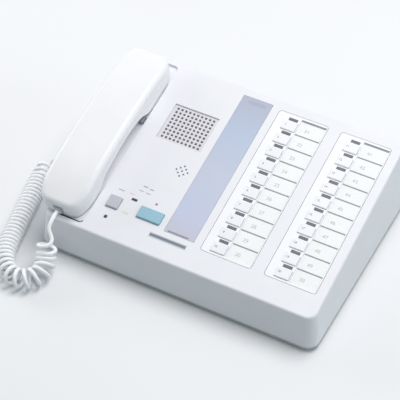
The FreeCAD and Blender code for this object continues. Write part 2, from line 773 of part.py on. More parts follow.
def plan_wire(inset):
    """The handset's outline seen from above, taken in by inset."""
    right = []
    for place, reach in HANDSET_PLAN_SHARES:
        v = HANDSET_START + place * HANDSET_LENGTH
        v = min(max(v, HANDSET_START + inset), HANDSET_START + HANDSET_LENGTH - inset)
        right.append((reach * HANDSET_WIDTH - inset, v))
    ring = [V(HANDSET_U + u, v, 0) for u, v in right]
    ring += [V(HANDSET_U - u, v, 0) for u, v in reversed(right)]
    middle = V(HANDSET_U, ring[0].y, 0)
    return path_wire(corner_arcs([middle] + ring + [middle]))


def handset_block(inset):
    """The handset's form with sharp edges, taken in by inset."""
    form = across(under_points(inset), back_points(-inset))
    plan = Part.Face(plan_wire(inset))
    plan.translate(V(0, 0, -HANDSET_HEIGHT))
    return form.common(plan.extrude(V(0, 0, 3 * HANDSET_HEIGHT)))


def rim_edges(form, above):
    """The edges round the handset's form, above or below its seam."""
    rim = plan_wire(0)
    seam = seam_points(0)
    chosen = []
    for edge in form.Edges:
        points = edge.discretize(3)
        on_rim = all(rim.distToShape(Part.Vertex(p.x, p.y, 0))[0] < HANDSET_SEAM / 100 for p in points)
        upright = edge.BoundBox.ZLength > edge.Length / 2
        if on_rim and not upright and (points[1].z > height_at(seam, points[1].y)) == above:
            chosen.append(edge)
    return chosen


def handset_form():
    """The handset's outer form, its edges round."""
    form = handset_block(0)
    form = form.makeFillet(HANDSET_EDGE, rim_edges(form, True))
    return form.makeFillet(HANDSET_LOW_EDGE, rim_edges(form, False))


def below_seam(shift):
    """The space under the seam between the handset's two shells."""
    seam = seam_points(shift)
    floor = [V(0, seam[0].y, -HANDSET_HEIGHT), V(0, seam[-1].y, -HANDSET_HEIGHT)]
    return across(floor, seam)


def handset_windows():
    """What is cut through the handset's wall: the jack's window and the sound holes."""
    half_w = JACK_WIDTH / 2 + FIT_GAP
    half_h = JACK_HEIGHT / 2 + FIT_GAP
    low = (HANDSET_U - half_w, 0, HANDSET_JACK_H - half_h)
    high = (HANDSET_U + half_w, HANDSET_START + JACK_LENGTH, HANDSET_JACK_H + half_h)
    tools = [block(low, high)]
    low = HANDSET_REST - OVERRUN
    high = HANDSET_REST + HANDSET_WALL + OVERRUN
    for u, v in hex_places(HANDSET_U, RECEIVER_V, RECEIVER_HOLE_PITCH, 2):
        tools.append(rod(u, v, HANDSET_HOLE_RADIUS, low, high))
    for u, v in hex_places(HANDSET_U, MOUTHPIECE_V, MOUTH_HOLE_PITCH, 1):
        tools.append(rod(u, v, HANDSET_HOLE_RADIUS, low, high))
    return tools


def capsule_ring(v, radius):
    """The ring that holds a capsule on the floor of the handset."""
    low = HANDSET_REST + HANDSET_WALL / 2
    top = HANDSET_REST + HANDSET_WALL + CAPSULE_RING_HEIGHT
    ring = rod(HANDSET_U, v, radius + CAPSULE_RING, low, top)
    return ring.cut(rod(HANDSET_U, v, radius, HANDSET_REST + HANDSET_WALL, top + OVERRUN))


def handset_lower_shell():
    shell = handset_form().cut(handset_block(HANDSET_WALL)).common(below_seam(0))
    rings = [capsule_ring(RECEIVER_V, CAPSULE_RADIUS + FIT_GAP), capsule_ring(MOUTHPIECE_V, MOUTHPIECE_WELL)]
    shell = shell.fuse(rings)
    return lay(cut_all(shell, handset_windows()).removeSplitter())


def handset_upper_shell():
    shell = handset_form().cut(handset_block(HANDSET_WALL)).cut(below_seam(HANDSET_SEAM))
    return lay(cut_all(shell, handset_windows()))


def receiver_capsule():
    low = HANDSET_REST + HANDSET_WALL
    body = rod(HANDSET_U, RECEIVER_V, CAPSULE_RADIUS, low, low + CAPSULE_HEIGHT / 2)
    back = rod(HANDSET_U, RECEIVER_V, CAPSULE_RADIUS / 2, low, low + CAPSULE_HEIGHT)
    return lay(body.fuse(back).removeSplitter())


def handset_microphone():
    low = HANDSET_REST + HANDSET_WALL
    body = rod(HANDSET_U, MOUTHPIECE_V, MOUTHPIECE_RADIUS, low, low + MOUTHPIECE_HEIGHT)
    collar = rod(HANDSET_U, MOUTHPIECE_V, MOUTHPIECE_WELL - FIT_GAP, low, low + MOUTHPIECE_HEIGHT / 3)
    return lay(body.fuse(collar).removeSplitter())


def jack_body():
    """A modular jack along +Y from its face at the origin, open to -Y."""
    half_w = JACK_WIDTH / 2
    half_h = JACK_HEIGHT / 2
    body = block((-half_w, 0, -half_h), (half_w, JACK_LENGTH, half_h))
    room_w = PLUG_WIDTH / 2 + FIT_GAP
    room_h = PLUG_HEIGHT / 2 + FIT_GAP
    depth = PLUG_LENGTH - PLUG_PROUD + FIT_GAP
    room = block((-room_w, -OVERRUN, -room_h), (room_w, depth, room_h))
    key_w = room_w / 2
    key = block((-key_w, -OVERRUN, -half_h + JACK_WALL / 2), (key_w, depth, -room_h + FIT_GAP))
    return body.cut(room.fuse(key))


def plug_body():
    """A modular plug along +Y, its cable end at y = -PLUG_PROUD."""
    half_w = PLUG_WIDTH / 2
    half_h = PLUG_HEIGHT / 2
    body = block((-half_w, -PLUG_PROUD, -half_h), (half_w, PLUG_LENGTH - PLUG_PROUD, half_h))
    return body.makeChamfer(PLUG_HEIGHT / 12, [e for e in body.Edges if e.BoundBox.YLength > PLUG_PROUD])


def handset_jack():
    return lay(jack_body().translated(V(HANDSET_U, HANDSET_START, HANDSET_JACK_H)))


def cord_plug_handset():
    return lay(plug_body().translated(V(HANDSET_U, HANDSET_START, HANDSET_JACK_H)))


def base_jack_face():
    """How far the left wall stands out at the jack, given as x from the top's left edge."""
    crest = FRONT_HEIGHT + BASE_JACK_Y * math.tan(SLOPE)
    return -WALL_FLARE * (crest - BASE_JACK_Z) / (crest - COVER_BASE_Z) + COVER_WALL / 3


def turned_to_left_wall(shape):
    shape.rotate(V(0, 0, 0), V(0, 0, 1), -90)
    return stand(shape.translated(V(base_jack_face(), BASE_JACK_Y, BASE_JACK_Z)))


def base_jack():
    return turned_to_left_wall(jack_body())


def cord_plug_base():
    return turned_to_left_wall(plug_body())


def plunger_top():
    """The plunger's top, held down by the handset's underside behind its arch."""
    return height_at(under_points(0), PLUNGER_V + PLUNGER_LENGTH / 2) - 2 * SEAT_GAP


def hook_plunger():
    low = -CRADLE_DEPTH - COVER_WALL
    foot = low - PLUNGER_TRAVEL
    corner = KEY_CORNER - KEY_GAP
    stem = slab(PLUNGER_U, PLUNGER_V, PLUNGER_WIDTH, PLUNGER_LENGTH, corner, foot, plunger_top())
    stem = stem.makeChamfer(KEY_EDGE, top_edges(stem, plunger_top()))
    wide = PLUNGER_WIDTH + 2 * PLUNGER_FLANGE
    flange_top = low - PLUNGER_TRAVEL - KEY_GAP
    flange = slab(
        PLUNGER_U,
        PLUNGER_V,
        wide,
        PLUNGER_LENGTH + 2 * PLUNGER_FLANGE,
        KEY_CORNER,
        flange_top - PLUNGER_FLANGE,
        flange_top,
    )
    neck = slab(PLUNGER_U, PLUNGER_V, PLUNGER_STEM, PLUNGER_STEM, KEY_EDGE, flange_top - PLUNGER_FLANGE, low)
    return lay(stem.fuse([flange, neck]).removeSplitter())


def hook_switch():
    """A small switch on its own board under the plunger, with a post to the cover at each end."""
    top = -CRADLE_DEPTH - COVER_WALL - PLUNGER_TRAVEL - KEY_GAP - PLUNGER_FLANGE - SEAT_GAP
    half_l = HOOK_SWITCH_WIDTH / 2
    half_w = HOOK_SWITCH_DEPTH / 2
    seat = top - HOOK_SWITCH_HEIGHT
    low_corner = (PLUNGER_U - half_w, PLUNGER_V - half_l, seat)
    body = block(low_corner, (PLUNGER_U + half_w, PLUNGER_V + half_l, top))
    reach = half_l + PLUNGER_LENGTH
    low = seat - HOOK_BOARD_THICK
    low_corner = (PLUNGER_U - 2 * half_w, PLUNGER_V - reach, low)
    parts = [block(low_corner, (PLUNGER_U + 2 * half_w, PLUNGER_V + reach, seat))]
    for side in (-1, 1):
        v = PLUNGER_V + side * (reach - BOARD_POST_RADIUS)
        parts.append(rod(PLUNGER_U, v, BOARD_POST_RADIUS / 2, low, -CRADLE_DEPTH - COVER_WALL - SEAT_GAP))
    return lay(body.fuse(parts).removeSplitter())


def speaker_grille():
    width = GRILLE_WIDTH - FIT_GAP
    length = GRILLE_LENGTH - FIT_GAP
    low = -COVER_WALL - SEAT_GAP - GRILLE_THICK
    plate = slab(GRILLE_U, GRILLE_V, width, length, GRILLE_CORNER, low, -GRILLE_SINK)
    flange = slab(
        GRILLE_U,
        GRILLE_V,
        GRILLE_WIDTH + 2 * GRILLE_FLANGE,
        GRILLE_LENGTH + 2 * GRILLE_FLANGE,
        GRILLE_CORNER,
        low,
        -COVER_WALL - SEAT_GAP,
    )
    plate = plate.fuse(flange).removeSplitter()
    half = GRILLE_HOLE / 2
    tools = [
        block((u - half, v - half, low - OVERRUN), (u + half, v + half, 0))
        for u, v in grid_places(GRILLE_U, GRILLE_V, GRILLE_PITCH, GRILLE_COLUMNS, GRILLE_ROWS)
    ]
    return lay(cut_all(plate, tools))


def speaker_seat():
    """The height of the speaker's rim, under the grille's flange."""
    return -COVER_WALL - 2 * SEAT_GAP - GRILLE_THICK


def revolved(points, cu, cv):
    """Turns a closed outline of (radius, h) points about an axis through cu, cv."""
    corners = [V(r, 0, h) for r, h in points]
    face = Part.Face(Part.makePolygon(corners + [corners[0]]))
    return face.revolve(V(0, 0, 0), V(0, 0, 1), 360).translated(V(cu, cv, 0))


def speaker_basket():
    top = speaker_seat()
    rim = SPEAKER_RADIUS - SPEAKER_RIM
    back = top - SPEAKER_DEPTH
    outline = (
        (SPEAKER_RADIUS, top),
        (SPEAKER_RADIUS, top - SPEAKER_RIM_THICK),
        (rim, top - SPEAKER_RIM_THICK),
        (SPEAKER_BACK_RADIUS, back),
        (CONE_THROAT, back),
        (CONE_THROAT, back + SPEAKER_SHEET),
        (SPEAKER_BACK_RADIUS - SPEAKER_SHEET, back + SPEAKER_SHEET),
        (rim - SPEAKER_SHEET, top),
    )
    basket = revolved(outline, GRILLE_U, GRILLE_V)
    tools = []
    for turn in range(4):
        opening = block(
            (SPEAKER_BACK_RADIUS, -CONE_THROAT, back + SPEAKER_RIM), (rim, CONE_THROAT, top - SPEAKER_RIM)
        )
        opening.rotate(V(0, 0, 0), V(0, 0, 1), 45 + 90 * turn)
        tools.append(opening.translated(V(GRILLE_U, GRILLE_V, 0)))
    return lay(cut_all(basket, tools))


def speaker_cone():
    top = speaker_seat() - FIT_GAP
    rim = SPEAKER_RADIUS - SPEAKER_RIM - SPEAKER_SHEET * 3
    back = speaker_seat() - SPEAKER_DEPTH + SPEAKER_SHEET + FIT_GAP
    outline = (
        (0, back + CONE_THICK * 3),
        (0, back),
        (CONE_THROAT, back),
        (SPEAKER_BACK_RADIUS - SPEAKER_SHEET * 3, back + CONE_THICK),
        (rim, top - CONE_THICK),
        (rim, top),
        (SPEAKER_BACK_RADIUS - SPEAKER_SHEET * 4, back + CONE_THICK * 2.5),
        (CONE_THROAT, back + CONE_THICK * 2),
    )
    return lay(revolved(outline, GRILLE_U, GRILLE_V))


def speaker_magnet():
    top = speaker_seat() - SPEAKER_DEPTH
    ring = rod(GRILLE_U, GRILLE_V, MAGNET_RADIUS, top - MAGNET_HEIGHT, top)
    yoke = rod(GRILLE_U, GRILLE_V, MAGNET_RADIUS * 0.9, top - MAGNET_HEIGHT - YOKE_HEIGHT, top)
    return lay(ring.fuse(yoke).removeSplitter())


def board_top():
    return -BOARD_DEPTH - FIT_GAP


def microphone():
    low = board_top()
    return lay(rod(MIC_U, MIC_V, MIC_RADIUS, low + FIT_GAP, low + FIT_GAP + MIC_HEIGHT))


def microphone_boot():
    low = board_top()
    boot = rod(MIC_U, MIC_V, MIC_BOOT_RADIUS, low, -COVER_WALL - SEAT_GAP)
    return lay(boot.cut(rod(MIC_U, MIC_V, MIC_RADIUS + FIT_GAP / 5, low, 0)))


def key_cap(u, v, width, length, rise, travel, under):
    """A sprung key cap with a flange that stops it under its window and a stem."""
    stop = under - KEY_GAP
    cap = slab(u, v, width, length, KEY_CORNER, stop - KEY_FLANGE_THICK, rise)
    cap = cap.makeChamfer(KEY_EDGE, top_edges(cap, rise))
    flange = slab(
        u, v, width + 2 * KEY_FLANGE, length + 2 * KEY_FLANGE, KEY_CORNER, stop - KEY_FLANGE_THICK, stop
    )
    tip = board_top() + SWITCH_BODY + travel + FIT_GAP
    stem = rod(u, v, KEY_STEM_RADIUS, tip, stop)
    return lay(cap.fuse([flange, stem]).removeSplitter())


def selector_key(column, row):
    u, v = selector_place(column, row)
    return key_cap(u, v, SELECTOR_WIDTH, SELECTOR_LENGTH, SELECTOR_RISE, SELECTOR_TRAVEL, -PANEL_DEPTH)


def selector_panel(column):
    plate = panel_outline(column, 0, -PANEL_THICK, 0)
    core = panel_outline(column, -PANEL_LEDGE - FIT_GAP, -PANEL_DEPTH, -PANEL_THICK / 2)
    plate = plate.fuse(core).removeSplitter()
    deep = -PANEL_DEPTH - OVERRUN
    tools = []
    for row in range(ROW_COUNT):
        u, v = selector_place(column, row)
        wide = SELECTOR_WIDTH + 2 * KEY_GAP
        tools.append(slab(u, v, wide, SELECTOR_LENGTH + 2 * KEY_GAP, KEY_CORNER + KEY_GAP, deep, OVERRUN))
        tools.append(lamp_window(column, row, FIT_GAP / 2, deep, OVERRUN))
    tools.append(card_form(column, FIT_GAP, -CARD_THICK - CARD_COVER_THICK - FIT_GAP, OVERRUN))
    return lay(cut_all(plate, tools))


def lamp_window(column, row, grow, low, high):
    u = COLUMN_LAMP_US[column]
    width = WINDOW_LAMP_WIDTH + 2 * grow
    return slab(u, row_v(row), width, WINDOW_LAMP_LENGTH + 2 * grow, WINDOW_LAMP_CORNER, low, high)


def columns():
    return range(len(COLUMN_LAMP_US))


def lamp_windows():
    windows = [lamp_window(c, row, 0, -PANEL_DEPTH, 0) for c in columns() for row in range(ROW_COUNT)]
    return lay(Part.makeCompound(windows))


def card_form(column, grow, low, high):
    left = COLUMN_LAMP_US[column] + CARD_LEFT
    wire = rounded_wire(
        left - grow,
        PANEL_LOW_V + CARD_MARGIN - grow,
        left + CARD_WIDTH + grow,
        PANEL_HIGH_V - CARD_MARGIN + grow,
        CARD_CORNER,
        low,
    )
    return Part.Face(wire).extrude(V(0, 0, high - low))


def directory_cards():
    low = -CARD_THICK - CARD_COVER_THICK - FIT_GAP / 2
    cards = [card_form(column, -FIT_GAP, low, low + CARD_THICK) for column in columns()]
    return lay(Part.makeCompound(cards))


def card_cover(column):
    """The clear cover over a card, with a raised rib at the edge of each row."""
    cover = card_form(column, 0, -CARD_COVER_THICK, 0)
    left = COLUMN_LAMP_US[column] + CARD_LEFT
    ribs = []
    for row in range(1, ROW_COUNT):
        v = row_v(row) + SELECTOR_OFFSET_V - ROW_PITCH / 2 + SELECTOR_LENGTH / 4
        low = (left + CARD_CORNER, v - CARD_RIB / 2, -CARD_COVER_THICK / 2)
        high = (left + CARD_WIDTH - CARD_CORNER, v + CARD_RIB / 2, CARD_RIB_RISE)
        ribs.append(block(low, high))
    return lay(cover.fuse(ribs).removeSplitter())


def card_covers():
    return Part.makeCompound([card_cover(column) for column in columns()])


def board(left, front, right, back):
    """A board hung under the top, with a hole at each post that it meets."""
    low = board_top() - BOARD_THICK
    plate = slab(
        (left + right) / 2, (front + back) / 2, right - left, back - front, CARD_CORNER, low, board_top()
    )
    holes = [
        rod(u, v, SCREW_RADIUS, low - OVERRUN, 0)
        for u, v in board_post_places()
        if left < u < right and front < v < back
    ]
    return lay(cut_all(plate, holes))


def selector_board():
    left = COLUMN_LAMP_US[0] - PANEL_LEFT - 3 * BOARD_POST_RADIUS
    right = COLUMN_LAMP_US[-1] + PANEL_RIGHT - BOARD_MARGIN
    return board(left, PANEL_LOW_V, right, PANEL_HIGH_V - BOARD_MARGIN)


def function_board():
    return board(FUNCTION_BOARD_LEFT, FUNCTION_BOARD_FRONT, FUNCTION_BOARD_RIGHT, FUNCTION_BOARD_BACK)


def switch_places():
    places = [(u, v) for _, u, v, _, _ in function_keys()]
    for column in columns():
        places += [selector_place(column, row) for row in range(ROW_COUNT)]
    return places


def key_switches():
    low = board_top()
    switches = []
    half = SWITCH_SIZE / 2
    for u, v in switch_places():
        body = block((u - half, v - half, low), (u + half, v + half, low + SWITCH_BODY * 0.8))
        switches.append(body.fuse(rod(u, v, SWITCH_TIP_RADIUS, low, low + SWITCH_BODY)).removeSplitter())
    return lay(Part.makeCompound(switches))


def lamp_leds():
    low = board_top()
    places = [(COLUMN_LAMP_US[c], row_v(row)) for c in columns() for row in range(ROW_COUNT)]
    places += [(LAMP_U, LAMP_V), (MODE_LAMP_U, MODE_LAMP_V)]
    return lay(Part.makeCompound([rod(u, v, LED_RADIUS, low, low + LED_HEIGHT) for u, v in places]))


def status_lamps():
    low = -COVER_WALL
    dot = rod(LAMP_U, LAMP_V, LAMP_RADIUS, low, LAMP_RISE)
    dot = dot.makeChamfer(LAMP_RISE * 0.8, top_edges(dot, LAMP_RISE))
    top = LAMP_RISE / 2
    bar = slab(MODE_LAMP_U, MODE_LAMP_V, MODE_LAMP_WIDTH, MODE_LAMP_LENGTH, MODE_LAMP_CORNER, low, top)
    return lay(Part.makeCompound([dot, bar]))


def front_window():
    return lay(
        slab(WINDOW_U, WINDOW_V, WINDOW_WIDTH, WINDOW_LENGTH, WINDOW_CORNER, -COVER_WALL, -WINDOW_SINK)
    )


def stand_off_places():
    inset = 2 * STAND_OFF_RADIUS
    return [
        (x, y)
        for x in (MAIN_LEFT + inset, (MAIN_LEFT + MAIN_RIGHT) / 2, MAIN_RIGHT - inset)
        for y in (MAIN_FRONT + inset, MAIN_BACK - inset * 3)
    ]


def main_board_top():
    return tray_floor_top() + MAIN_RAISE + BOARD_THICK


def main_board():
    low = tray_floor_top() + MAIN_RAISE
    plate = block((MAIN_LEFT, MAIN_FRONT, low), (MAIN_RIGHT, MAIN_BACK, low + BOARD_THICK))
    holes = [rod(x, y, SCREW_RADIUS, low - OVERRUN, low + 2 * BOARD_THICK) for x, y in stand_off_places()]
    return stand(cut_all(plate, holes))


def board_components():
    """Transformer, capacitors, relays and chips on the main board, as separate solids."""
    low = main_board_top()
    x = MAIN_LEFT + TRANSFORMER_SIZE
    y = MAIN_BACK - 2 * TRANSFORMER_SIZE
    half = TRANSFORMER_SIZE / 2
    core = block((x - half, y - half, low), (x + half, y + half, low + TRANSFORMER_HEIGHT))
    slot = half * COIL_FORMER_SHARE
    slot_low = (x - half - OVERRUN, y - slot, low + slot)
    slot_high = (x + half + OVERRUN, y + slot, low + TRANSFORMER_HEIGHT - slot)
    parts = [core.cut(block(slot_low, slot_high))]
    for i in range(3):
        left = x + TRANSFORMER_SIZE + i * 3 * CAPACITOR_RADIUS
        parts.append(rod(left, y, CAPACITOR_RADIUS, low, low + CAPACITOR_HEIGHT))
    for i in range(4):
        left = MAIN_LEFT + (2 + i) * 2 * CHIP_LENGTH * 0.8
        front = MAIN_FRONT + CHIP_LENGTH
        chip_high = (left + CHIP_LENGTH, front + CHIP_WIDTH, low + CHIP_HEIGHT)
        parts.append(block((left, front, low), chip_high))
        front = MAIN_FRONT + 3 * CHIP_LENGTH
        relay_high = (left + RELAY_WIDTH, front + RELAY_LENGTH, low + RELAY_HEIGHT)
        parts.append(block((left, front, low), relay_high))
    return stand(Part.makeCompound(parts))


def line_shell(grow, y_low, y_high):
    """The connector's D-shaped outline, wider above, between two depths."""
    half_h = LINE_HEIGHT / 2 + grow
    half_w = LINE_WIDTH / 2 + grow
    z = line_centre_z()
    corners = [
        V(LINE_U - half_w, y_low, z + half_h),
        V(LINE_U + half_w, y_low, z + half_h),
        V(LINE_U + half_w - LINE_TAPER, y_low, z - half_h),
        V(LINE_U - half_w + LINE_TAPER, y_low, z - half_h),
    ]
    return Part.Face(Part.makePolygon(corners + [corners[0]])).extrude(V(0, y_high - y_low, 0))


def line_connector():
    face = line_face_y()
    body = line_shell(0, face - LINE_DEPTH, face)
    room = line_shell(-LINE_WALL, face - LINE_CAVITY, face + OVERRUN)
    z = line_centre_z()
    tongue_w = LINE_WIDTH / 2 - 2 * LINE_TONGUE
    tongue = block(
        (LINE_U - tongue_w, face - LINE_CAVITY, z - LINE_HEIGHT / 2),
        (LINE_U + tongue_w, face - LINE_SINK, z - LINE_HEIGHT / 2 + LINE_TONGUE + LINE_WALL),
    )
    foot_z = main_board_top() + SEAT_GAP
    foot = block(
        (LINE_U - LINE_WIDTH / 4, face - LINE_DEPTH, foot_z), (LINE_U + LINE_WIDTH / 4, face - LINE_CAVITY, z)
    )
    return stand(body.cut(room).fuse([tongue, foot]).removeSplitter())


def corner_arcs(points):
    """Straight runs joined by arcs that touch them, as a list of pieces: (start, end, middle, radius)."""
    pieces = []
    start = points[0]
    for i in range(1, len(points) - 1):
        into = points[i] - points[i - 1]
        out = points[i + 1] - points[i]
        short = min(into.Length, out.Length)
        half_turn = into.getAngle(out) / 2
        reach = ARC_SHARE * short
        radius = reach / math.tan(half_turn)
        a = points[i] - into.normalize() * reach
        b = points[i] + out.normalize() * reach
        mid = (a + b) / 2
        inward = (mid - points[i]).normalize()
        centre = points[i] + inward * (radius / math.cos(half_turn))
        pieces.append((start, a, None, 0))
        pieces.append((a, b, centre - inward * radius, radius))
        start = b
    pieces.append((start, points[-1], None, 0))
    return pieces


def path_wire(pieces):
    edges = []
    for a, b, mid, _ in pieces:
        edges.append(Part.LineSegment(a, b).toShape() if mid is None else Part.Arc(a, mid, b).toShape())
    return Part.Wire(edges)


def section_wire(point, direction, radius, sides):
    """A regular outline of so many sides across a path, of a circle's area."""
    out = direction.normalize()
    side = out.cross(V(0, 0, 1) if abs(out.z) < 0.9 else V(1, 0, 0)).normalize()
    up = out.cross(side)
    turn = 2 * math.pi / sides
    reach = radius * math.sqrt(turn / math.sin(turn))
    corners = [
        point + side * (reach * math.cos(i * turn)) + up * (reach * math.sin(i * turn)) for i in range(sides)
    ]
    return Part.makePolygon(corners + [corners[0]])


def route_point(point):
    return V(point[0] + X_ORIGIN, point[1] + Y_ORIGIN, point[2])


def joint_point(a, b):
    """Where a lead meets the coil, half way along the run that they share."""
    return (route_point(a) + route_point(b)) / 2


def handset_exit():
    return at_top(HANDSET_U, HANDSET_START - PLUG_PROUD, HANDSET_JACK_H)


def handset_lead_points():
    """From the plug, straight out for a little, then down to the first curl."""
    start = handset_exit()
    out = V(0, -math.cos(SLOPE), -math.sin(SLOPE))
    first = start + out * (3 * WIRE_DIAMETER / 2)
    joint = joint_point(HANDSET_LEAD_ROUTE[-1], COIL_ROUTE[0])
    return [start, first] + [route_point(p) for p in HANDSET_LEAD_ROUTE] + [joint]


def base_lead_points():
    """From the last curl to the plug in the left wall."""
    plug = V(X_ORIGIN + base_jack_face() - PLUG_PROUD, Y_ORIGIN + BASE_JACK_Y, BASE_JACK_Z)
    before = plug - V(3 * WIRE_DIAMETER / 2, 0, 0)
    joint = joint_point(COIL_ROUTE[-1], BASE_LEAD_ROUTE[0])
    return [joint] + [route_point(p) for p in BASE_LEAD_ROUTE] + [before, plug]


def lead(name, points):
    """A plain stretch of the cord."""
    pieces = corner_arcs(points)
    path = path_wire(pieces)
    radii = [round(piece[3], 1) for piece in pieces if piece[3]]
    profile = section_wire(points[0], points[1] - points[0], WIRE_DIAMETER / 2, LEAD_SIDES)
    tube = path.makePipeShell([profile], True, False)
    expected = math.pi * WIRE_DIAMETER**2 / 4 * path.Length
    share = round(tube.Volume / expected, 4)
    print(name, "length", round(path.Length, 1), "radii", radii, "volume share", share)
    return tube


def coil_frames():
    """Places along the middle of the coil: point, direction, side, length so far and bend."""
    points = [joint_point(HANDSET_LEAD_ROUTE[-1], COIL_ROUTE[0])]
    points += [route_point(p) for p in COIL_ROUTE]
    points.append(joint_point(COIL_ROUTE[-1], BASE_LEAD_ROUTE[0]))
    pieces = corner_arcs(points)
    places = []
    for a, b, mid, radius in pieces:
        edge = Part.LineSegment(a, b).toShape() if mid is None else Part.Arc(a, mid, b).toShape()
        for i in range(ROUTE_STEPS):
            at = edge.FirstParameter + (edge.LastParameter - edge.FirstParameter) * i / ROUTE_STEPS
            places.append((edge.valueAt(at), edge.tangentAt(at).normalize(), 1 / radius if radius else 0))
    places.append((points[-1], (points[-1] - points[-2]).normalize(), 0))
    side = places[0][1].cross(V(0, 0, 1)).normalize()
    length = 0
    frames = []
    for i, (point, out, bend) in enumerate(places):
        if i:
            length += (point - places[i - 1][0]).Length
        side = (side - out * side.dot(out)).normalize()
        frames.append((point, out, side, length, bend))
    return frames


def coil_turns(frames):
    """The turns made by each place, closer where the coil is straight, and the helix's radius there."""
    middle = (COIL_DIAMETER - WIRE_DIAMETER) / 2
    total = frames[-1][3]
    window = COIL_DIAMETER
    turns = [0]
    for i in range(1, len(frames)):
        near = [f for f in frames if abs(f[3] - frames[i][3]) < window]
        bend = max(f[4] for f in near)
        pitch = (WIRE_DIAMETER + CURL_GAP) / (1 - middle * bend)
        step = frames[i][3] - frames[i - 1][3]
        if WIRE_DIAMETER < frames[i][3] < total - WIRE_DIAMETER:
            turns.append(turns[-1] + step / pitch)
        else:
            turns.append(turns[-1])
    radii = []
    for frame in frames:
        from_end = min(frame[3], total - frame[3]) - WIRE_DIAMETER
        share = min(max(from_end / COIL_DIAMETER, 0), 1)
        radii.append(middle * (1 - math.cos(share * math.pi)) / 2)
    return turns, radii


def between(xs, ys, x):
    """The value at x of a table that rises, though not everywhere."""
    for i in range(1, len(xs)):
        if x <= xs[i] and xs[i] > xs[i - 1]:
            share = (x - xs[i - 1]) / (xs[i] - xs[i - 1])
            return ys[i - 1] + (ys[i] - ys[i - 1]) * share
    return ys[-1]


def coil_points(per_turn):
    """Points of the curls with their directions, per_turn of them to a turn."""
    frames = coil_frames()
    turns, radii = coil_turns(frames)
    whole = round(turns[-1])
    turns = [turn * whole / turns[-1] for turn in turns]

    def curl(t):
        place = between(turns, range(len(turns)), t)
        i = min(int(place), len(frames) - 2)
        share = place - i
        point = frames[i][0] + (frames[i + 1][0] - frames[i][0]) * share
        side = (frames[i][2] + (frames[i + 1][2] - frames[i][2]) * share).normalize()
        out = (frames[i][1] + (frames[i + 1][1] - frames[i][1]) * share).normalize()
        radius = radii[i] + (radii[i + 1] - radii[i]) * share
        a = 2 * math.pi * t
        return point + side * (radius * math.cos(a)) + out.cross(side) * (radius * math.sin(a))

    points = []
    step = 1 / 200
    for i in range(whole * per_turn + 1):
        t = i / per_turn
        ahead = curl(min(t + step, whole))
        behind = curl(max(t - step, 0))
        points.append((curl(t), (ahead - behind).normalize()))
    first, last = frames[0], frames[-1]
    points[0] = (first[0] + first[1] * WIRE_DIAMETER, first[1])
    points[-1] = (last[0] - last[1] * WIRE_DIAMETER, last[1])
    return points, frames, whole


def biarc(p0, t0, p1, t1):
    """Two arcs from p0 to p1 that leave along t0, arrive along t1 and meet smoothly."""
    v = p1 - p0
    t = t0 + t1
    a = 2 * (1 - t0.dot(t1))
    b = v.dot(t)
    reach = (-b + math.sqrt(b * b + a * v.dot(v))) / a if a > 1e-9 else v.dot(v) / (2 * b)
    joint = (p0 + t0 * reach + p1 - t1 * reach) / 2
    return [arc_from(p0, t0, joint), arc_from(p1, -t1, joint, True)]


def arc_from(p, t, q, flip=False):
    """The arc from p along t to q, or from q to p where flipped."""
    chord = q - p
    across = (chord - t * chord.dot(t)).normalize()
    radius = chord.dot(chord) / (2 * chord.dot(across))
    centre = p + across * radius
    mid = centre + ((p + q) / 2 - centre).normalize() * radius
    return Part.Arc(q, mid, p).toShape() if flip else Part.Arc(p, mid, q).toShape()


def least_gap(points, per_turn):
    """The least space between the surfaces of two curls, measured on points well apart along the wire."""
    least = COIL_DIAMETER
    for i in range(len(points)):
        along = 0
        for j in range(i + 1, min(i + per_turn * 4, len(points))):
            along += (points[j][0] - points[j - 1][0]).Length
            if along > 2 * WIRE_DIAMETER:
                least = min(least, (points[i][0] - points[j][0]).Length)
    return least - WIRE_DIAMETER


def cord_coil():
    points, frames, whole = coil_points(2)
    edges = [Part.LineSegment(frames[0][0], points[0][0]).toShape()]
    for (p0, t0), (p1, t1) in zip(points, points[1:]):
        edges += biarc(p0, t0, p1, t1)
    edges.append(Part.LineSegment(points[-1][0], frames[-1][0]).toShape())
    path = Part.Wire(edges)
    profile = section_wire(frames[0][0], frames[0][1], WIRE_DIAMETER / 2, CURL_SIDES)
    tube = path.makePipeShell([profile], True, False)
    fine, _, _ = coil_points(16)
    expected = math.pi * WIRE_DIAMETER**2 / 4 * path.Length
    share = round(tube.Volume / expected, 4)
    gap = round(least_gap(fine, 16), 2)
    print("cord_coil curls", whole, "length along its middle", round(frames[-1][3], 1))
    print("cord_coil wire length", round(path.Length, 1), "least gap", gap, "volume share", share)
    return tube


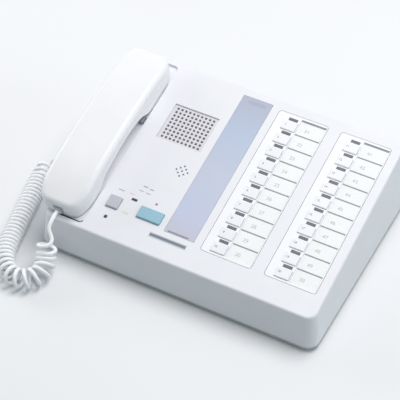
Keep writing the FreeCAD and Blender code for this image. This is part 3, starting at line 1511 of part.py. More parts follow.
def nodes():
    """Every piece by name."""
    yield "top_cover", top_cover()
    yield "base_tray", base_tray()
    yield "rubber_feet", rubber_feet()
    yield "base_screws", base_screws()
    yield "handset_lower_shell", handset_lower_shell()
    yield "handset_upper_shell", handset_upper_shell()
    yield "receiver_capsule", receiver_capsule()
    yield "handset_microphone", handset_microphone()
    yield "handset_jack", handset_jack()
    yield "cord_plug_handset", cord_plug_handset()
    yield "base_jack", base_jack()
    yield "cord_plug_base", cord_plug_base()
    yield "hook_plunger", hook_plunger()
    yield "hook_switch", hook_switch()
    yield "speaker_grille", speaker_grille()
    yield "speaker_basket", speaker_basket()
    yield "speaker_cone", speaker_cone()
    yield "speaker_magnet", speaker_magnet()
    yield "microphone", microphone()
    yield "microphone_boot", microphone_boot()
    for name, u, v, width, length in function_keys():
        yield name, key_cap(u, v, width, length, FUNCTION_RISE, FUNCTION_TRAVEL, -COVER_WALL)
    yield "status_lamps", status_lamps()
    yield "front_window", front_window()
    yield "name_strip", name_strip()
    yield "lamp_windows", lamp_windows()
    yield "directory_cards", directory_cards()
    yield "card_covers", card_covers()
    for column in columns():
        yield "selector_panel_" + COLUMN_NAMES[column], selector_panel(column)
        for row in range(ROW_COUNT):
            yield "selector_key_%02d" % (column * ROW_COUNT + ROW_COUNT - row), selector_key(column, row)
    yield "selector_board", selector_board()
    yield "function_board", function_board()
    yield "key_switches", key_switches()
    yield "lamp_leds", lamp_leds()
    yield "main_board", main_board()
    yield "board_components", board_components()
    yield "line_connector", line_connector()
    yield "cord_lead_handset", lead("cord_lead_handset", handset_lead_points())
    yield "cord_coil", cord_coil()
    yield "cord_lead_base", lead("cord_lead_base", base_lead_points())


def main():
    os.makedirs("parts", exist_ok=True)
    for name, shape in nodes():
        shape.exportStep("parts/" + name + ".step")


main()
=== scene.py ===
import json
import math

import bmesh
import bpy
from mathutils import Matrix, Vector


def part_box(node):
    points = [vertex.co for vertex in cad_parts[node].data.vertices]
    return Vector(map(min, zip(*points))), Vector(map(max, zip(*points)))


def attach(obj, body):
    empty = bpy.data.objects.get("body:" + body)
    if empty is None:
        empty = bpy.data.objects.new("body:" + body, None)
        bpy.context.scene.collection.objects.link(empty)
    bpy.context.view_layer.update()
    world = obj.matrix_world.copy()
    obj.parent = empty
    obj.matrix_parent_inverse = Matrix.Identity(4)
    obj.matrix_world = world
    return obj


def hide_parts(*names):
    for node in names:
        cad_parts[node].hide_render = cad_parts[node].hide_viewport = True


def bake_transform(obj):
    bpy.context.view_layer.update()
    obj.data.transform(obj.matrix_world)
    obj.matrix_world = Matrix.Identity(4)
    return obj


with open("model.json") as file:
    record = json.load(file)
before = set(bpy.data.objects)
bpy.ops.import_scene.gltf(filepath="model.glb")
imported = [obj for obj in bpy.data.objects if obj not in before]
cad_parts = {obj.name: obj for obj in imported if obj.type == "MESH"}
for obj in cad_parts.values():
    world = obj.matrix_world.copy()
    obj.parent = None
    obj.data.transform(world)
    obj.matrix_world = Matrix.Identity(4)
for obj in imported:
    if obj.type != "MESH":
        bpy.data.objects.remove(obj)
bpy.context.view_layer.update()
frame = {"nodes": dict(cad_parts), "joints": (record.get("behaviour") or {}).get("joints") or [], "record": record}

# A desk intercom master station. Metres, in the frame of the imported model: Z = 0 is the table, X runs to
# the right and Y to the back. The top slopes, and places on it are (u, v, h): u along X, v up the slope
# and h out of it, all counted from the frame's origin.

NODES = frame["nodes"]
MM = 0.001
SMOOTH_BELOW = math.radians(28)

# The camera, solved on the edges of the console
CAMERA_PLACE = (0.5290, -1.0225, 1.2742)
CAMERA_TARGET = (-0.00425, 0.00196, 0.040)
CAMERA_LENS = 146.4
CAMERA_SHIFT = (-0.0488, -0.0148)

# The cord. Its routes are in mm from the table under the top's front left corner, as in the part's source.
ROUTE_ORIGIN = Vector((-0.14925, -0.11004, 0))
WIRE_DIAMETER = 4.0 * MM
COIL_DIAMETER = 22.0 * MM
CURL_GAP = 1.0 * MM
# Curls lie closer on the inside of a bend; the coil widens first and turns later where it begins and ends
CURL_GAP_INSIDE_BENDS = 0.1 * MM
CURL_CROWDING_LIMIT = 0.6
CURL_RUN_IN = 28.0 * MM
CURL_WIDENING_SHARE = 0.7
CURLS_UP_THE_LEAD = 17.0 * MM
CURL_STEPS = 20
STRAIGHT_AT_PLUG = 1.5 * WIRE_DIAMETER
PLUG_END_DEPTH = 0.1 * MM
WIRE_SIDES = 14
ROUTE_ORDER = 3
ROUTE_RESOLUTION = 24
BEND_WINDOW = 6
# The heights between which the lead is drawn out as the handset is lifted
HANDSET_LEAD_ROUTE = (
    (15.2, -11.2, 48.6),
    (15.6, -18.6, 41.6),
)
COIL_ROUTE = (
    (17.6, -24.2, 25.0),
    (20.0, -32.2, 15.2),
    (22.9, -45.2, 11.4),
    (17.0, -57.2, 11.4),
    (5.3, -63.4, 11.4),
    (-8.7, -60.4, 11.4),
    (-19.5, -49.5, 11.4),
    (-26.1, -35.3, 11.4),
    (-30.6, -19.3, 11.4),
    (-34.2, -1.3, 11.4),
    (-38.2, 16.7, 11.4),
    (-41.8, 35.2, 11.4),
    (-46.2, 54.2, 11.4),
    (-49.8, 71.2, 11.4),
    (-50.6, 84.7, 11.6),
    (-43.4, 95.9, 12.8),
)
BASE_LEAD_ROUTE = (
    (-24.5, 106.6, 16.8),
)

# Nodes whose finish is a shade of their slot's
NODE_MATERIALS = {
    "lamp_windows": "lamp_lens",
    "front_window": "window_lens",
    "selector_panel_left": "panel_plastic",
    "selector_panel_right": "panel_plastic",
}

# Prints: the numbers of the keys and cards, and the ruled lines over the cards
INK_HEIGHT = 0.05 * MM
TYPE_SIZE_PER_HEIGHT = 1.4
KEY_COUNT = 20
KEY_DIGIT_HEIGHT = 2.6 * MM
KEY_DIGIT_FROM_KEY = (-4.2 * MM, 0.6 * MM)
LAMP_FROM_KEY = (0.9 * MM, 8.7 * MM)
CARD_DIGIT_HEIGHT = 4.2 * MM
CARD_DIGIT_FROM_LAMP = (19.0 * MM, -7.5 * MM)
CARD_NUMBERS_FROM = (20, 30)
RULE_FROM_LAMP = (22.6 * MM, 2.7 * MM)
RULE_SIZE = (27.6 * MM, 1.5 * MM)
BAR_CORNER_SHARE = 0.4
BAR_CORNER_TURNS = (0, 30, 60, 90)

# The small marks in mm, one of them a painted shadow: name, middle from the name strip's front left corner, size
# and colour
TOP_MARKS = (
    ("mark_privacy", (-62.8, 25.7), (7.0, 1.1), (176, 178, 186)),
    ("mark_status", (-50.6, 26.1), (5.0, 0.9), (204, 205, 212)),
    ("mark_talk_1", (-41.6, 39.0), (5.2, 1.2), (160, 162, 170)),
    ("mark_talk_2", (-34.1, 38.1), (4.8, 1.1), (170, 172, 180)),
    ("mark_talk_3", (-43.6, 33.0), (5.2, 1.0), (184, 186, 194)),
    ("mark_talk_4", (-35.4, 32.6), (5.2, 1.0), (172, 174, 182)),
    ("mark_yellow", (-46.8, 2.8), (7.5, 2.2), (226, 224, 204)),
    ("mark_purple", (-21.5, 24.7), (2.6, 2.6), (150, 132, 158)),
    # A painted shadow: a dark line along the name strip's front edge, where the strip's edge casts shade
    ("strip_edge_shadow", (15.5, 1.6), (24.0, 1.5), (132, 136, 148)),
    ("strip_plate", (18.1, 177.0), (20.0, 4.2), (170, 175, 194)),
)
WINDOW_SURROUND = 1.5 * MM
WINDOW_SURROUND_LENGTH = 0.9 * WINDOW_SURROUND

# A dark strip that paints the shadow under the handset's front end, along the front wall of the handset's cradle
# and round its corner. In mm: the middle of the cradle's corner from the name strip's front left corner, its
# radius and the strip's length and width.
CRADLE_CORNER = (-86.0, -21.0)
CRADLE_CORNER_RADIUS = 4.9
CRADLE_DEPTH = 3.0 * MM
SHADOW_STRIP_LENGTH = 22.0
SHADOW_STRIP_WIDTH = 1.9
SHADOW_STRIP_RISE = 1.5 * MM
SHADOW_STRIP_TURNS = (-90, -75, -60, -45, -30, -15)

# The line connector's contacts and the plugs' latches, in section
CONTACT_COUNT = 24
CONTACT_PITCH = 2.0 * MM
CONTACT_WIDTH = 0.9 * MM
CONTACT_SECTION = ((-8.6, -8.4), (-8.6, -8.2), (-3.4, -8.0), (-2.4, -7.7), (-1.4, -8.3), (-1.4, -8.4))
LATCH_WIDTH = 3.4 * MM
LATCH_SECTION = ((-9.0, 3.2), (-9.0, 3.8), (-2.2, 4.4), (0.5, 5.2), (0.9, 4.7), (-1.9, 3.7), (-6.0, 3.3))

# The cloth behind the holes of the grille
CLOTH_SAG = 0.3 * MM
CLOTH_INSET = 3 * MM
CLOTH_CELLS = 24

# Finishes: mottling, patches of gloss and painted shade in the corners, as shares of the colour and the roughness
NOISE_DETAIL = 2.0
NOISE_MIDDLE = (0.3, 0.7)
MOTTLE_SIZE = 30 * MM
MOTTLE_SHADES = (0.965, 1.03)
GLOSS_PATCH_SIZE = 9 * MM
GLOSS_SPREAD = (-0.05, 0.06)
CORNER_SHADE_REACH = 5 * MM
CORNER_SHADE_OPENNESS = (0.35, 0.9)
CORNER_SHADE_TINT = (0.52, 0.5, 0.46)
CORNER_SHADE_SAMPLES = 6
EDGE_SAMPLES = 4
BUMP_STRENGTH = 0.5
LENS_ROUGHNESS = 0.18
LENS_COAT = 0.6
LENS_COAT_ROUGHNESS = 0.08
CLEAR_IOR = 1.49
CLEAR_PATCH_SIZE = 6 * MM
CLEAR_ROUGHNESS = (0.08, 0.2)
SOFT_SHARE = 0.5
SOFT_REACH = 3 * MM

# The name strip's colours, from its front end to its back end
STRIP_STOPS = (
    (0.0, (198, 196, 212)),
    (0.15, (194, 200, 224)),
    (0.45, (194, 200, 218)),
    (0.75, (182, 194, 217)),
    (1.0, (178, 181, 199)),
)

# The stage: the world and the floor as lamps see them, and the floor's size
WORLD_STRENGTH = 0.44
WORLD_TINT = (0.90, 0.985, 1.0, 1)
WHITE = (1, 1, 1, 1)
FLOOR_BOUNCE = (174, 184, 186)
FLOOR_TONES = ((236, 236, 238), (241, 241, 243))
FLOOR_HALF = 4.0
FLOOR_MOTTLE = 0.4
LAMPS_AIM = (0, 0, 0.05)

# The slope of the top, from the line along which the handset is lifted
SLOPE = math.asin(-next(j for j in frame["joints"] if j["name"] == "handset_lift")["axis"][1])


def on_top(u, v, h):
    """The point in the frame at u, v, h."""
    return Vector((u, v * math.cos(SLOPE) - h * math.sin(SLOPE), v * math.sin(SLOPE) + h * math.cos(SLOPE)))


def top_span(node):
    """The lowest and highest (u, v, h) of a node."""
    points = [v.co for v in NODES[node].data.vertices]
    places = [
        (p.x, p.y * math.cos(SLOPE) + p.z * math.sin(SLOPE), p.z * math.cos(SLOPE) - p.y * math.sin(SLOPE))
        for p in points
    ]
    return Vector(map(min, zip(*places))), Vector(map(max, zip(*places)))


TOP_H = top_span("name_strip")[1].z


def to_linear(rgb):
    """A colour given as 0 to 255 in sRGB, as the shader's linear values."""
    shares = [c / 255 for c in rgb]
    return tuple(c / 12.92 if c <= 0.04045 else ((c + 0.055) / 1.055) ** 2.4 for c in shares) + (1,)


def camera():
    """The camera at the photograph's viewing angle."""
    data = bpy.data.cameras.new("camera")
    data.lens = CAMERA_LENS
    data.shift_x, data.shift_y = CAMERA_SHIFT
    made = new_object("camera", data)
    made.location = CAMERA_PLACE
    aim = Vector(CAMERA_TARGET) - made.location
    made.rotation_euler = aim.to_track_quat("-Z", "Y").to_euler()
    bpy.context.scene.camera = made


def new_object(name, data):
    """An object in the scene for a mesh, a lamp or a camera."""
    made = bpy.data.objects.new(name, data)
    bpy.context.scene.collection.objects.link(made)
    return made


def mesh_object(name, points, faces, smooth=False):
    """A mesh of points and faces, in the scene."""
    data = bpy.data.meshes.new(name)
    data.from_pydata(points, [], faces)
    for polygon in data.polygons:
        polygon.use_smooth = smooth
    return new_object(name, data)


def route_point(point):
    """A point of the cord's route, in the frame."""
    return ROUTE_ORIGIN + Vector(point) * MM


def spline_curve(name, points, order):
    """An open NURBS curve through the ends of the points."""
    data = bpy.data.curves.new(name, "CURVE")
    data.dimensions = "3D"
    spline = data.splines.new("NURBS")
    spline.points.add(len(points) - 1)
    for place, point in zip(spline.points, points):
        place.co = (*point, 1)
    spline.order_u = order
    spline.use_endpoint_u = True
    spline.resolution_u = ROUTE_RESOLUTION
    return data


def read_curve(data):
    """The points along a bare curve."""
    bare = bpy.data.objects.new("bare", data)
    mesh = bpy.data.meshes.new_from_object(bare)
    points = [v.co.copy() for v in mesh.vertices]
    bpy.data.objects.remove(bare)
    bpy.data.meshes.remove(mesh)
    return points


def plug_end(node, along):
    """The middle of the plug's cable end, where along points out of the plug."""
    points = [v.co for v in NODES[node].data.vertices]
    far = max(p.dot(along) for p in points)
    end = [p for p in points if p.dot(along) > far - PLUG_END_DEPTH]
    return sum(end, Vector()) / len(end)


def cord_route():
    """The route's points: the lead at the handset, the coil and the lead at the base."""
    out = Vector((0, -math.cos(SLOPE), -math.sin(SLOPE)))
    start = plug_end("cord_plug_handset", out)
    lead = [start, start + out * STRAIGHT_AT_PLUG] + [route_point(p) for p in HANDSET_LEAD_ROUTE]
    coil = [route_point(p) for p in COIL_ROUTE]
    end = plug_end("cord_plug_base", Vector((-1, 0, 0)))
    tail = [route_point(p) for p in BASE_LEAD_ROUTE] + [end - Vector((STRAIGHT_AT_PLUG, 0, 0)), end]
    return lead, coil, tail


def steady_frames(points):
    """Direction, side and length so far at each point of a line, with no twist along it."""
    side = (points[1] - points[0]).cross(Vector((0, 0, 1))).normalized()
    length = 0
    frames = []
    for i, point in enumerate(points):
        out = (points[min(i + 1, len(points) - 1)] - points[max(i - 1, 0)]).normalized()
        if i:
            length += (point - points[i - 1]).length
        side = (side - out * side.dot(out)).normalized()
        frames.append((point, out, side, length))
    return frames


def bend_at(frames, i):
    """How sharply the line turns near a point, as one over the radius."""
    low = max(i - BEND_WINDOW, 0)
    high = min(i + BEND_WINDOW, len(frames) - 1)
    run = frames[high][3] - frames[low][3]
    return frames[low][1].angle(frames[high][1]) / run if run else 0


def share_of_coil(place, first, last):
    """The wire's shares of the coil's radius and of its turning rate at a place: it widens, then turns."""
    share = min(max(min(place - first, last - place) / CURL_RUN_IN, 0), 1)
    wide = min(share / CURL_WIDENING_SHARE, 1)
    return (1 - math.cos(wide * math.pi)) / 2, share ** 3


def curly_line(frames, first, last):
    """The wire's own line: along the route, and in curls between the lengths first and last."""
    middle = (COIL_DIAMETER - WIRE_DIAMETER) / 2
    turns = [0.0]
    bends = [bend_at(frames, i) for i in range(len(frames))]
    for i in range(1, len(frames)):
        place = frames[i][3]
        bend = max(b for b, f in zip(bends, frames) if abs(f[3] - place) < COIL_DIAMETER / 2)
        crowding = min(middle * bend, CURL_CROWDING_LIMIT)
        closest = (WIRE_DIAMETER + CURL_GAP_INSIDE_BENDS) / (1 - crowding)
        pitch = max(WIRE_DIAMETER + CURL_GAP, closest)
        step = (place - frames[i - 1][3]) * share_of_coil(place, first, last)[1]
        turns.append(turns[-1] + step / pitch)
    whole = round(turns[-1])
    turns = [turn * whole / turns[-1] for turn in turns]
    line = []
    for i in range(1, len(frames)):
        steps = max(1, math.ceil((turns[i] - turns[i - 1]) * CURL_STEPS))
        for k in range(steps):
            share = k / steps
            place = frames[i - 1][3] + (frames[i][3] - frames[i - 1][3]) * share
            turn = turns[i - 1] + (turns[i] - turns[i - 1]) * share
            radius = middle * share_of_coil(place, first, last)[0]
            point = frames[i - 1][0].lerp(frames[i][0], share)
            out = frames[i - 1][1].lerp(frames[i][1], share).normalized()
            side = frames[i - 1][2].lerp(frames[i][2], share).normalized()
            angle = math.pi * (2 * turn + 1)
            sideways = side * (radius * math.cos(angle))
            upwards = out.cross(side) * (radius * math.sin(angle))
            line.append(point + sideways + upwards)
    line.append(frames[-1][0])
    return line


def tube(name, line, radius, sides):
    """A round tube along a line of points, closed at its ends."""
    frames = steady_frames(line)
    points = []
    for point, out, side, _ in frames:
        up = out.cross(side)
        for k in range(sides):
            angle = 2 * math.pi * k / sides
            points.append(point + side * (radius * math.cos(angle)) + up * (radius * math.sin(angle)))
    faces = [list(range(sides))[::-1]]
    for i in range(len(frames) - 1):
        for k in range(sides):
            a = i * sides + k
            b = i * sides + (k + 1) % sides
            faces.append([a, b, b + sides, a + sides])
    faces.append([len(points) - sides + k for k in range(sides)])
    return mesh_object(name, points, faces, smooth=True)


def cord():
    """The curly cord from the handset's plug to the console's, one wire."""
    lead, coil, tail = cord_route()
    route = lead + coil + tail
    line = read_curve(spline_curve("cord_route", route, ROUTE_ORDER))
    frames = steady_frames(line)
    joints = ((lead[-1] + coil[0]) / 2, (coil[-1] + tail[0]) / 2)
    first, last = (min(frames, key=lambda f: (f[0] - joint).length)[3] for joint in joints)
    first -= CURLS_UP_THE_LEAD
    wire = curly_line(frames, first, last)
    piece = tube("curly_cord", wire, WIRE_DIAMETER / 2, WIRE_SIDES)
    piece.data.materials.append(MATERIALS["cord_plastic"])
    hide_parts("cord_lead_handset", "cord_coil", "cord_lead_base")
    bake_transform(piece)


def add(tree, kind, **values):
    """A shader node, with its inputs and settings by name."""
    made = tree.nodes.new("ShaderNode" + kind)
    for key, value in values.items():
        if key in made.inputs:
            made.inputs[key].default_value = value
        else:
            setattr(made, key, value)
    return made


def blend_colours(tree, share, low, high):
    """A mix of two colours by a share that varies over the surface."""
    mix = tree.nodes.new("ShaderNodeMix")
    mix.data_type = "RGBA"
    tree.links.new(share, mix.inputs[0])
    for value, socket in ((low, mix.inputs[6]), (high, mix.inputs[7])):
        if isinstance(value, bpy.types.NodeSocket):
            tree.links.new(value, socket)
        else:
            socket.default_value = value
    return mix.outputs[2]


def between(tree, value, low, high, to_low, to_high):
    """A value mapped from one range to another."""
    made = add(tree, "MapRange")
    made.inputs["From Min"].default_value = low
    made.inputs["From Max"].default_value = high
    made.inputs["To Min"].default_value = to_low
    made.inputs["To Max"].default_value = to_high
    tree.links.new(value, made.inputs["Value"])
    return made.outputs["Result"]


def noise(tree, size):
    """Noise whose features are about that large, in metres."""
    place = add(tree, "TexCoord")
    made = add(tree, "TexNoise", Scale=1 / size, Detail=NOISE_DETAIL)
    tree.links.new(place.outputs["Object"], made.inputs["Vector"])
    return made.outputs["Fac"]


def shade(rgb, factor):
    """A linear colour made lighter or darker."""
    return tuple(min(c * factor, 1) for c in rgb[:3]) + (1,)


def moulded(name, rgb, roughness, grain=0.7 * MM, depth=0.02 * MM, edge=0.4 * MM, corner_shade=0.12, metal=0.0):
    """Moulded plastic or plated metal: soft mottling, fine grain, softened edges and painted shade in its corners.
    """
    material = bpy.data.materials.new(name)
    material.use_nodes = True
    tree = material.node_tree
    shader = tree.nodes["Principled BSDF"]
    colour = to_linear(rgb)
    mottled = blend_colours(tree, noise(tree, MOTTLE_SIZE), *(shade(colour, k) for k in MOTTLE_SHADES))
    # Painted shade: the colour darkens to a warm grey where ambient occlusion finds the surface hemmed in, in
    # corners, gaps and under other pieces
    corner = add(tree, "AmbientOcclusion", Distance=CORNER_SHADE_REACH, samples=CORNER_SHADE_SAMPLES)
    shaded_share = between(tree, corner.outputs["AO"], *CORNER_SHADE_OPENNESS, corner_shade, 0)
    corner_shade_colour = shade(tuple(c * k for c, k in zip(colour, CORNER_SHADE_TINT)), 1)
    tree.links.new(blend_colours(tree, shaded_share, mottled, corner_shade_colour), shader.inputs["Base Color"])
    spread = (roughness + change for change in GLOSS_SPREAD)
    rough = between(tree, noise(tree, GLOSS_PATCH_SIZE), *NOISE_MIDDLE, *spread)
    tree.links.new(rough, shader.inputs["Roughness"])
    shader.inputs["Metallic"].default_value = metal
    soft = add(tree, "Bevel", Radius=edge, samples=EDGE_SAMPLES)
    bump = add(tree, "Bump", Strength=BUMP_STRENGTH, Distance=depth)
    tree.links.new(noise(tree, grain), bump.inputs["Height"])
    tree.links.new(soft.outputs["Normal"], bump.inputs["Normal"])
    tree.links.new(bump.outputs["Normal"], shader.inputs["Normal"])
    return material


def strip_film(name):
    """The printed film down the middle: blue grey, bluer half way and violet at its front end."""
    material = moulded(name, (196, 203, 219), 0.42, depth=0.01 * MM)
    tree = material.node_tree
    low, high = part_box("name_strip")
    place = add(tree, "TexCoord")
    split = add(tree, "SeparateXYZ")
    tree.links.new(place.outputs["Object"], split.inputs["Vector"])
    along = between(tree, split.outputs["Y"], low.y, high.y, 0, 1)
    ramp = tree.nodes.new("ShaderNodeValToRGB")
    tree.links.new(along, ramp.inputs["Fac"])
    for share, _ in STRIP_STOPS[1:-1]:
        ramp.color_ramp.elements.new(share)
    for element, (share, rgb) in zip(ramp.color_ramp.elements, STRIP_STOPS):
        element.position = share
        element.color = to_linear(rgb)
    shader = tree.nodes["Principled BSDF"]
    tree.links.new(ramp.outputs["Color"], shader.inputs["Base Color"])
    return material


def lens(name, rgb):
    """Dark tinted plastic, polished."""
    material = moulded(name, rgb, LENS_ROUGHNESS, depth=0.004 * MM, corner_shade=0)
    shader = material.node_tree.nodes["Principled BSDF"]
    shader.inputs["Coat Weight"].default_value = LENS_COAT
    shader.inputs["Coat Roughness"].default_value = LENS_COAT_ROUGHNESS
    return material


def clear_plastic(name, rgb, cover):
    """Clear sheet, of which so much covers what lies behind it."""
    material = bpy.data.materials.new(name)
    material.use_nodes = True
    tree = material.node_tree
    shader = tree.nodes["Principled BSDF"]
    shader.inputs["Base Color"].default_value = to_linear(rgb)
    shader.inputs["Alpha"].default_value = cover
    shader.inputs["IOR"].default_value = CLEAR_IOR
    rough = between(tree, noise(tree, CLEAR_PATCH_SIZE), *NOISE_MIDDLE, *CLEAR_ROUGHNESS)
    tree.links.new(rough, shader.inputs["Roughness"])
    return material


def soft_plastic(name, rgb, roughness):
    """Soft plastic that lets some light through."""
    material = moulded(name, rgb, roughness, grain=1.5 * MM, depth=0.01 * MM, corner_shade=0)
    shader = material.node_tree.nodes["Principled BSDF"]
    shader.inputs["Subsurface Weight"].default_value = SOFT_SHARE
    shader.inputs["Subsurface Scale"].default_value = SOFT_REACH
    shader.inputs["Subsurface Radius"].default_value = (1, 1, 1)
    return material


def paper(name, rgb):
    """Card with faint fibres."""
    return moulded(name, rgb, 0.85, grain=0.25 * MM, depth=0.01 * MM, edge=0.05 * MM, corner_shade=0.05)


def ink(name, rgb):
    """Printing ink."""
    return moulded(name, rgb, 0.6, depth=0.002 * MM, edge=0.02 * MM, corner_shade=0)


def make_materials():
    """The material of every slot, and of the nodes whose finish is a shade of their slot's."""
    # Each finish's corner share sets how strongly painted shade darkens its corners and gaps
    return {
        "housing_plastic": moulded("housing_plastic", (236, 236, 241), 0.5, corner_shade=0.06),
        "panel_plastic": moulded("panel_plastic", (246, 246, 250), 0.5, corner_shade=0.03),
        "base_plastic": moulded("base_plastic", (196, 199, 203), 0.55),
        "handset_plastic": moulded(
            "handset_plastic", (243, 242, 245), 0.36, grain=1.1 * MM, depth=0.012 * MM, corner_shade=0.05
        ),
        "key_plastic": moulded(
            "key_plastic", (240, 240, 244), 0.34, depth=0.008 * MM, edge=0.35 * MM, corner_shade=0.03
        ),
        "grey_key_plastic": moulded("grey_key_plastic", (195, 193, 204), 0.36, depth=0.008 * MM),
        "teal_key_plastic": moulded("teal_key_plastic", (152, 193, 210), 0.36, depth=0.008 * MM),
        "strip_plastic": strip_film("strip_plastic"),
        "grille_plastic": moulded("grille_plastic", (224, 221, 226), 0.55, corner_shade=0.04),
        "dark_lens": lens("dark_lens", (44, 44, 50)),
        "lamp_lens": lens("lamp_lens", (104, 105, 112)),
        "window_lens": lens("window_lens", (124, 132, 146)),
        "clear_cover": clear_plastic("clear_cover", (250, 251, 252), 0.06),
        "card_paper": paper("card_paper", (250, 251, 252)),
        "rubber": moulded("rubber", (46, 46, 48), 0.8, grain=0.5 * MM, depth=0.03 * MM),
        "steel": moulded("steel", (176, 178, 180), 0.34, grain=0.3 * MM, depth=0.006 * MM, metal=0.9),
        "cone_paper": paper("cone_paper", (48, 48, 50)),
        "circuit_board": moulded("circuit_board", (42, 96, 66), 0.4, depth=0.01 * MM),
        "component_plastic": moulded("component_plastic", (38, 38, 42), 0.5),
        "lamp_resin": lens("lamp_resin", (150, 40, 36)),
        "hook_plastic": moulded("hook_plastic", (150, 152, 156), 0.4),
        "jack_plastic": moulded("jack_plastic", (200, 202, 206), 0.5),
        "plug_plastic": clear_plastic("plug_plastic", (225, 230, 236), 0.6),
        "cord_plastic": soft_plastic("cord_plastic", (248, 249, 253), 0.33),
    }


def finish_nodes():
    """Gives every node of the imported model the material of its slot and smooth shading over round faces."""
    for entry in frame["record"]["subparts"]:
        node = NODES[entry["node"]]
        node.data.materials.clear()
        node.data.materials.append(MATERIALS[NODE_MATERIALS.get(entry["node"], entry["material_slot"])])
        node.data.shade_smooth()
        node.data.set_sharp_from_angle(angle=SMOOTH_BELOW)


def ink_material(name, rgb):
    """The ink of that name, made when it is first asked for."""
    if name not in INKS:
        INKS[name] = ink(name, rgb)
    return INKS[name]


def prism(name, low, high, material):
    """A prism between two outlines with as many points."""
    count = len(low)
    faces = [list(range(count))[::-1], [count + i for i in range(count)]]
    faces += [[i, (i + 1) % count, count + (i + 1) % count, count + i] for i in range(count)]
    piece = mesh_object(name, low + high, faces)
    piece.data.materials.append(material)
    return piece


def slab(name, outline, h, rise, material):
    """A flat piece on the console's top or over it, over an outline of (u, v) places."""
    low = [on_top(u, v, h) for u, v in outline]
    high = [on_top(u, v, h + rise) for u, v in outline]
    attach(prism(name, low, high, material), "console")


def bar(name, centre, size, material):
    """A flat printed bar on the console with round corners, centred at (u, v) and at a height."""
    u, v, h = centre
    half_w, half_l = size[0] / 2, size[1] / 2
    round_corner = min(half_w, half_l) * BAR_CORNER_SHARE
    outline = []
    for su, sv, start in ((1, 1, 0), (-1, 1, 90), (-1, -1, 180), (1, -1, 270)):
        for turn in BAR_CORNER_TURNS:
            a = math.radians(start + turn)
            x = su * (half_w - round_corner) + round_corner * math.cos(a)
            y = sv * (half_l - round_corner) + round_corner * math.sin(a)
            outline.append((u + x, v + y))
    slab(name, outline, h, INK_HEIGHT, material)


def rubber_strip():
    """A dark strip in the gap between the handset's front end and the cradle's wall: a painted shadow."""
    corner = top_span("name_strip")[0]
    outline = []
    for radius, turns in (
        (CRADLE_CORNER_RADIUS, SHADOW_STRIP_TURNS),
        (CRADLE_CORNER_RADIUS - SHADOW_STRIP_WIDTH, SHADOW_STRIP_TURNS[::-1]),
    ):
        row = [(radius * math.cos(math.radians(t)), radius * math.sin(math.radians(t))) for t in turns]
        end = (-SHADOW_STRIP_LENGTH, -radius)
        outline += [end] + row if turns == SHADOW_STRIP_TURNS else row + [end]
    places = [
        (corner.x + (CRADLE_CORNER[0] + x) * MM, corner.y + (CRADLE_CORNER[1] + y) * MM) for x, y in outline
    ]
    # The painted shadow is a dark slab in the rubber finish, a little proud of the cradle's floor
    slab("cradle_shadow_strip", places, TOP_H - CRADLE_DEPTH, SHADOW_STRIP_RISE, MATERIALS["rubber"])


def printed(name, text, centre, height, body, material):
    """Plain digits printed on a piece of the top, centred at (u, v, h)."""
    u, v, h = centre
    data = bpy.data.curves.new(name, "FONT")
    data.body = text
    data.size = height * TYPE_SIZE_PER_HEIGHT
    data.align_x = "CENTER"
    data.align_y = "CENTER"
    data.extrude = INK_HEIGHT / 2
    flat = bpy.data.objects.new(name + "_flat", data)
    mesh = bpy.data.meshes.new_from_object(flat)
    bpy.data.objects.remove(flat)
    for vertex in mesh.vertices:
        vertex.co = on_top(u + vertex.co.x, v + vertex.co.y, h + INK_HEIGHT / 2 + vertex.co.z)
    mesh.name = name
    piece = new_object(name, mesh)
    piece.data.materials.clear()
    piece.data.materials.append(material)
    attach(piece, body)


def selector_marks():
    """A number on every selector key, and a ruled line and a number on its card."""
    dark = ink_material("ink_grey", (96, 98, 106))
    rule = ink_material("ink_rule", (128, 130, 134))
    faint = ink_material("ink_faint", (178, 180, 186))
    card_h = top_span("directory_cards")[1].z
    for number in range(1, KEY_COUNT + 1):
        name = "selector_key_%02d" % number
        low, high = top_span(name)
        u, v = (low.x + high.x) / 2, (low.y + high.y) / 2
        place = (u + KEY_DIGIT_FROM_KEY[0], v + KEY_DIGIT_FROM_KEY[1], high.z)
        printed(name + "_digit", str(number), place, KEY_DIGIT_HEIGHT, name, dark)
        lamp_u, lamp_v = u + LAMP_FROM_KEY[0], v + LAMP_FROM_KEY[1]
        label = str(number + CARD_NUMBERS_FROM[number > KEY_COUNT / 2])
        place = (lamp_u + CARD_DIGIT_FROM_LAMP[0], lamp_v + CARD_DIGIT_FROM_LAMP[1], card_h)
        printed("card_digit_%02d" % number, label, place, CARD_DIGIT_HEIGHT, "console", faint)
        centre = (lamp_u + RULE_FROM_LAMP[0], lamp_v + RULE_FROM_LAMP[1], card_h)
        bar("card_rule_%02d" % number, centre, RULE_SIZE, rule)


def top_marks():
    """Small printed marks beside the keys and on the strip, a painted shadow along the strip's front edge, and the
    pale surround of the front window.
    """
    corner = top_span("name_strip")[0]
    for name, (u, v), (width, length), rgb in TOP_MARKS:
        place = (corner.x + u * MM, corner.y + v * MM, TOP_H)
        bar(name, place, (width * MM, length * MM), ink_material("ink_" + name, rgb))
    low, high = top_span("front_window")
    centre = ((low.x + high.x) / 2, (low.y + high.y) / 2)
    pale = ink_material("ink_surround", (203, 208, 217))
    for side, name in ((-1, "front"), (1, "back")):
        v = centre[1] + side * ((high.y - low.y) / 2 + WINDOW_SURROUND / 2)
        size = (high.x - low.x + WINDOW_SURROUND, WINDOW_SURROUND_LENGTH)
        bar("window_surround_" + name, (centre[0], v, TOP_H), size, pale)


def extruded(name, section, origin, axes, width, body, material):
    """A section in the plane of the first two axes, in mm, drawn out along the third to its width."""
    along, up, side = axes
    middle = [origin + along * (a * MM) + up * (b * MM) for a, b in section]
    low, high = ([point + side * shift for point in middle] for shift in (-width / 2, width / 2))
    piece = prism(name, low, high, material)
    mend = bmesh.new()
    mend.from_mesh(piece.data)
    bmesh.ops.recalc_face_normals(mend, faces=mend.faces)
    mend.to_mesh(piece.data)
    mend.free()
    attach(piece, body)


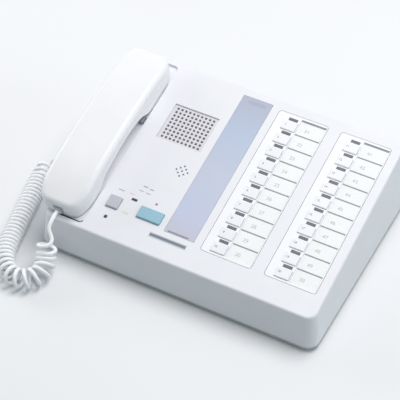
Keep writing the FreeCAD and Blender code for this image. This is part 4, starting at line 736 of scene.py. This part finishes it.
def connector_contacts():
    """The row of sprung contacts on the tongue of the line connector."""
    low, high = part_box("line_connector")
    gold = moulded("contact_gold", (206, 176, 112), 0.3, grain=0.3 * MM, depth=0.003 * MM, metal=0.9, corner_shade=0)
    axes = (Vector((0, 1, 0)), Vector((0, 0, 1)), Vector((1, 0, 0)))
    for i in range(CONTACT_COUNT):
        x = (low.x + high.x) / 2 + (i - (CONTACT_COUNT - 1) / 2) * CONTACT_PITCH
        origin = Vector((x, high.y, high.z))
        name = "line_contact_%02d" % (i + 1)
        extruded(name, CONTACT_SECTION, origin, axes, CONTACT_WIDTH, "console", gold)


def plug_latches():
    """The latch that holds each plug in its jack."""
    slope_out = Vector((0, -math.cos(SLOPE), -math.sin(SLOPE)))
    slope_down = Vector((0, math.sin(SLOPE), -math.cos(SLOPE)))
    rows = (
        ("cord_plug_handset", slope_out, slope_down, "handset"),
        ("cord_plug_base", Vector((-1, 0, 0)), Vector((0, 0, -1)), "console"),
    )
    for node, out, down, body in rows:
        axes = (out, down, out.cross(down))
        name = node + "_latch"
        extruded(name, LATCH_SECTION, plug_end(node, out), axes, LATCH_WIDTH, body, MATERIALS["plug_plastic"])


def grille_cloth():
    """The pale woven cloth behind the holes of the speaker's grille."""
    low, high = top_span("speaker_grille")
    rim_h = top_span("speaker_basket")[1].z
    inset = CLOTH_INSET
    h = rim_h - CLOTH_SAG
    count = CLOTH_CELLS
    points = []
    for i in range(count + 1):
        for j in range(count + 1):
            u = low.x + inset + (high.x - low.x - 2 * inset) * i / count
            v = low.y + inset + (high.y - low.y - 2 * inset) * j / count
            crown = math.sin(math.pi * i / count) * math.sin(math.pi * j / count)
            points.append(on_top(u, v, h - CLOTH_SAG * crown))
    faces = []
    for i in range(count):
        for j in range(count):
            a = i * (count + 1) + j
            faces.append([a, a + count + 1, a + count + 2, a + 1])
    piece = mesh_object("grille_cloth", points, faces, smooth=True)
    material = moulded(
        "speaker_cloth", (190, 188, 195), 0.85, grain=0.5 * MM, depth=0.06 * MM, edge=0.05 * MM
    )
    piece.data.materials.append(material)
    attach(piece, "console")


def seen_ray(tree):
    """1 for rays that show the background: the camera's, and those through or off clear and shiny pieces."""
    path = add(tree, "LightPath")
    seen = path.outputs["Is Camera Ray"]
    for name in ("Is Glossy Ray", "Is Transmission Ray"):
        either = add(tree, "Math", operation="MAXIMUM")
        tree.links.new(seen, either.inputs[0])
        tree.links.new(path.outputs[name], either.inputs[1])
        seen = either.outputs["Value"]
    return seen


def stage():
    """A plain pale floor and the world's light."""
    size = FLOOR_HALF
    corners = [(-size, -size, 0), (size, -size, 0), (size, size, 0), (-size, size, 0)]
    floor = mesh_object("floor", corners, [[0, 1, 2, 3]])
    material = bpy.data.materials.new("floor_paper")
    material.use_nodes = True
    tree = material.node_tree
    shader = tree.nodes["Principled BSDF"]
    shader.inputs["Roughness"].default_value = 0.9
    tone = blend_colours(tree, noise(tree, FLOOR_MOTTLE), *(to_linear(rgb) for rgb in FLOOR_TONES))
    shown = blend_colours(tree, seen_ray(tree), to_linear(FLOOR_BOUNCE), tone)
    tree.links.new(shown, shader.inputs["Base Color"])
    floor.data.materials.append(material)
    world = bpy.data.worlds.new("world")
    world.use_nodes = True
    bpy.context.scene.world = world
    tree = world.node_tree
    background = tree.nodes["Background"]
    seen = seen_ray(tree)
    tree.links.new(blend_colours(tree, seen, WORLD_TINT, WHITE), background.inputs["Color"])
    tree.links.new(between(tree, seen, 0, 1, WORLD_STRENGTH, 1), background.inputs["Strength"])


def lamp(name, place, size, power, tint):
    """A round lamp that faces the console."""
    data = bpy.data.lights.new(name, "AREA")
    data.shape = "DISK"
    data.size = size
    data.energy = power
    data.color = tint
    made = new_object(name, data)
    made.location = place
    aim = Vector(LAMPS_AIM) - made.location
    made.rotation_euler = aim.to_track_quat("-Z", "Y").to_euler()


def lights():
    """A warm lamp overhead, a cool one at the right and a plain one at the left."""
    lamp("key_lamp", (0.3, 0.5, 1.75), 1.1, 20, tint=(1, 0.965, 0.965))
    lamp("side_lamp", (1.6, 0.3, 0.7), 0.9, 4.0, tint=(0.86, 0.98, 1))
    lamp("left_lamp", (-1.5, 0.2, 0.5), 0.9, 7, tint=(1, 1, 1))


bpy.context.scene.view_settings.view_transform = "Standard"
INKS = {}
camera()
MATERIALS = make_materials()
cord()
finish_nodes()
selector_marks()
top_marks()
rubber_strip()
connector_contacts()
plug_latches()
grille_cloth()
stage()
lights()
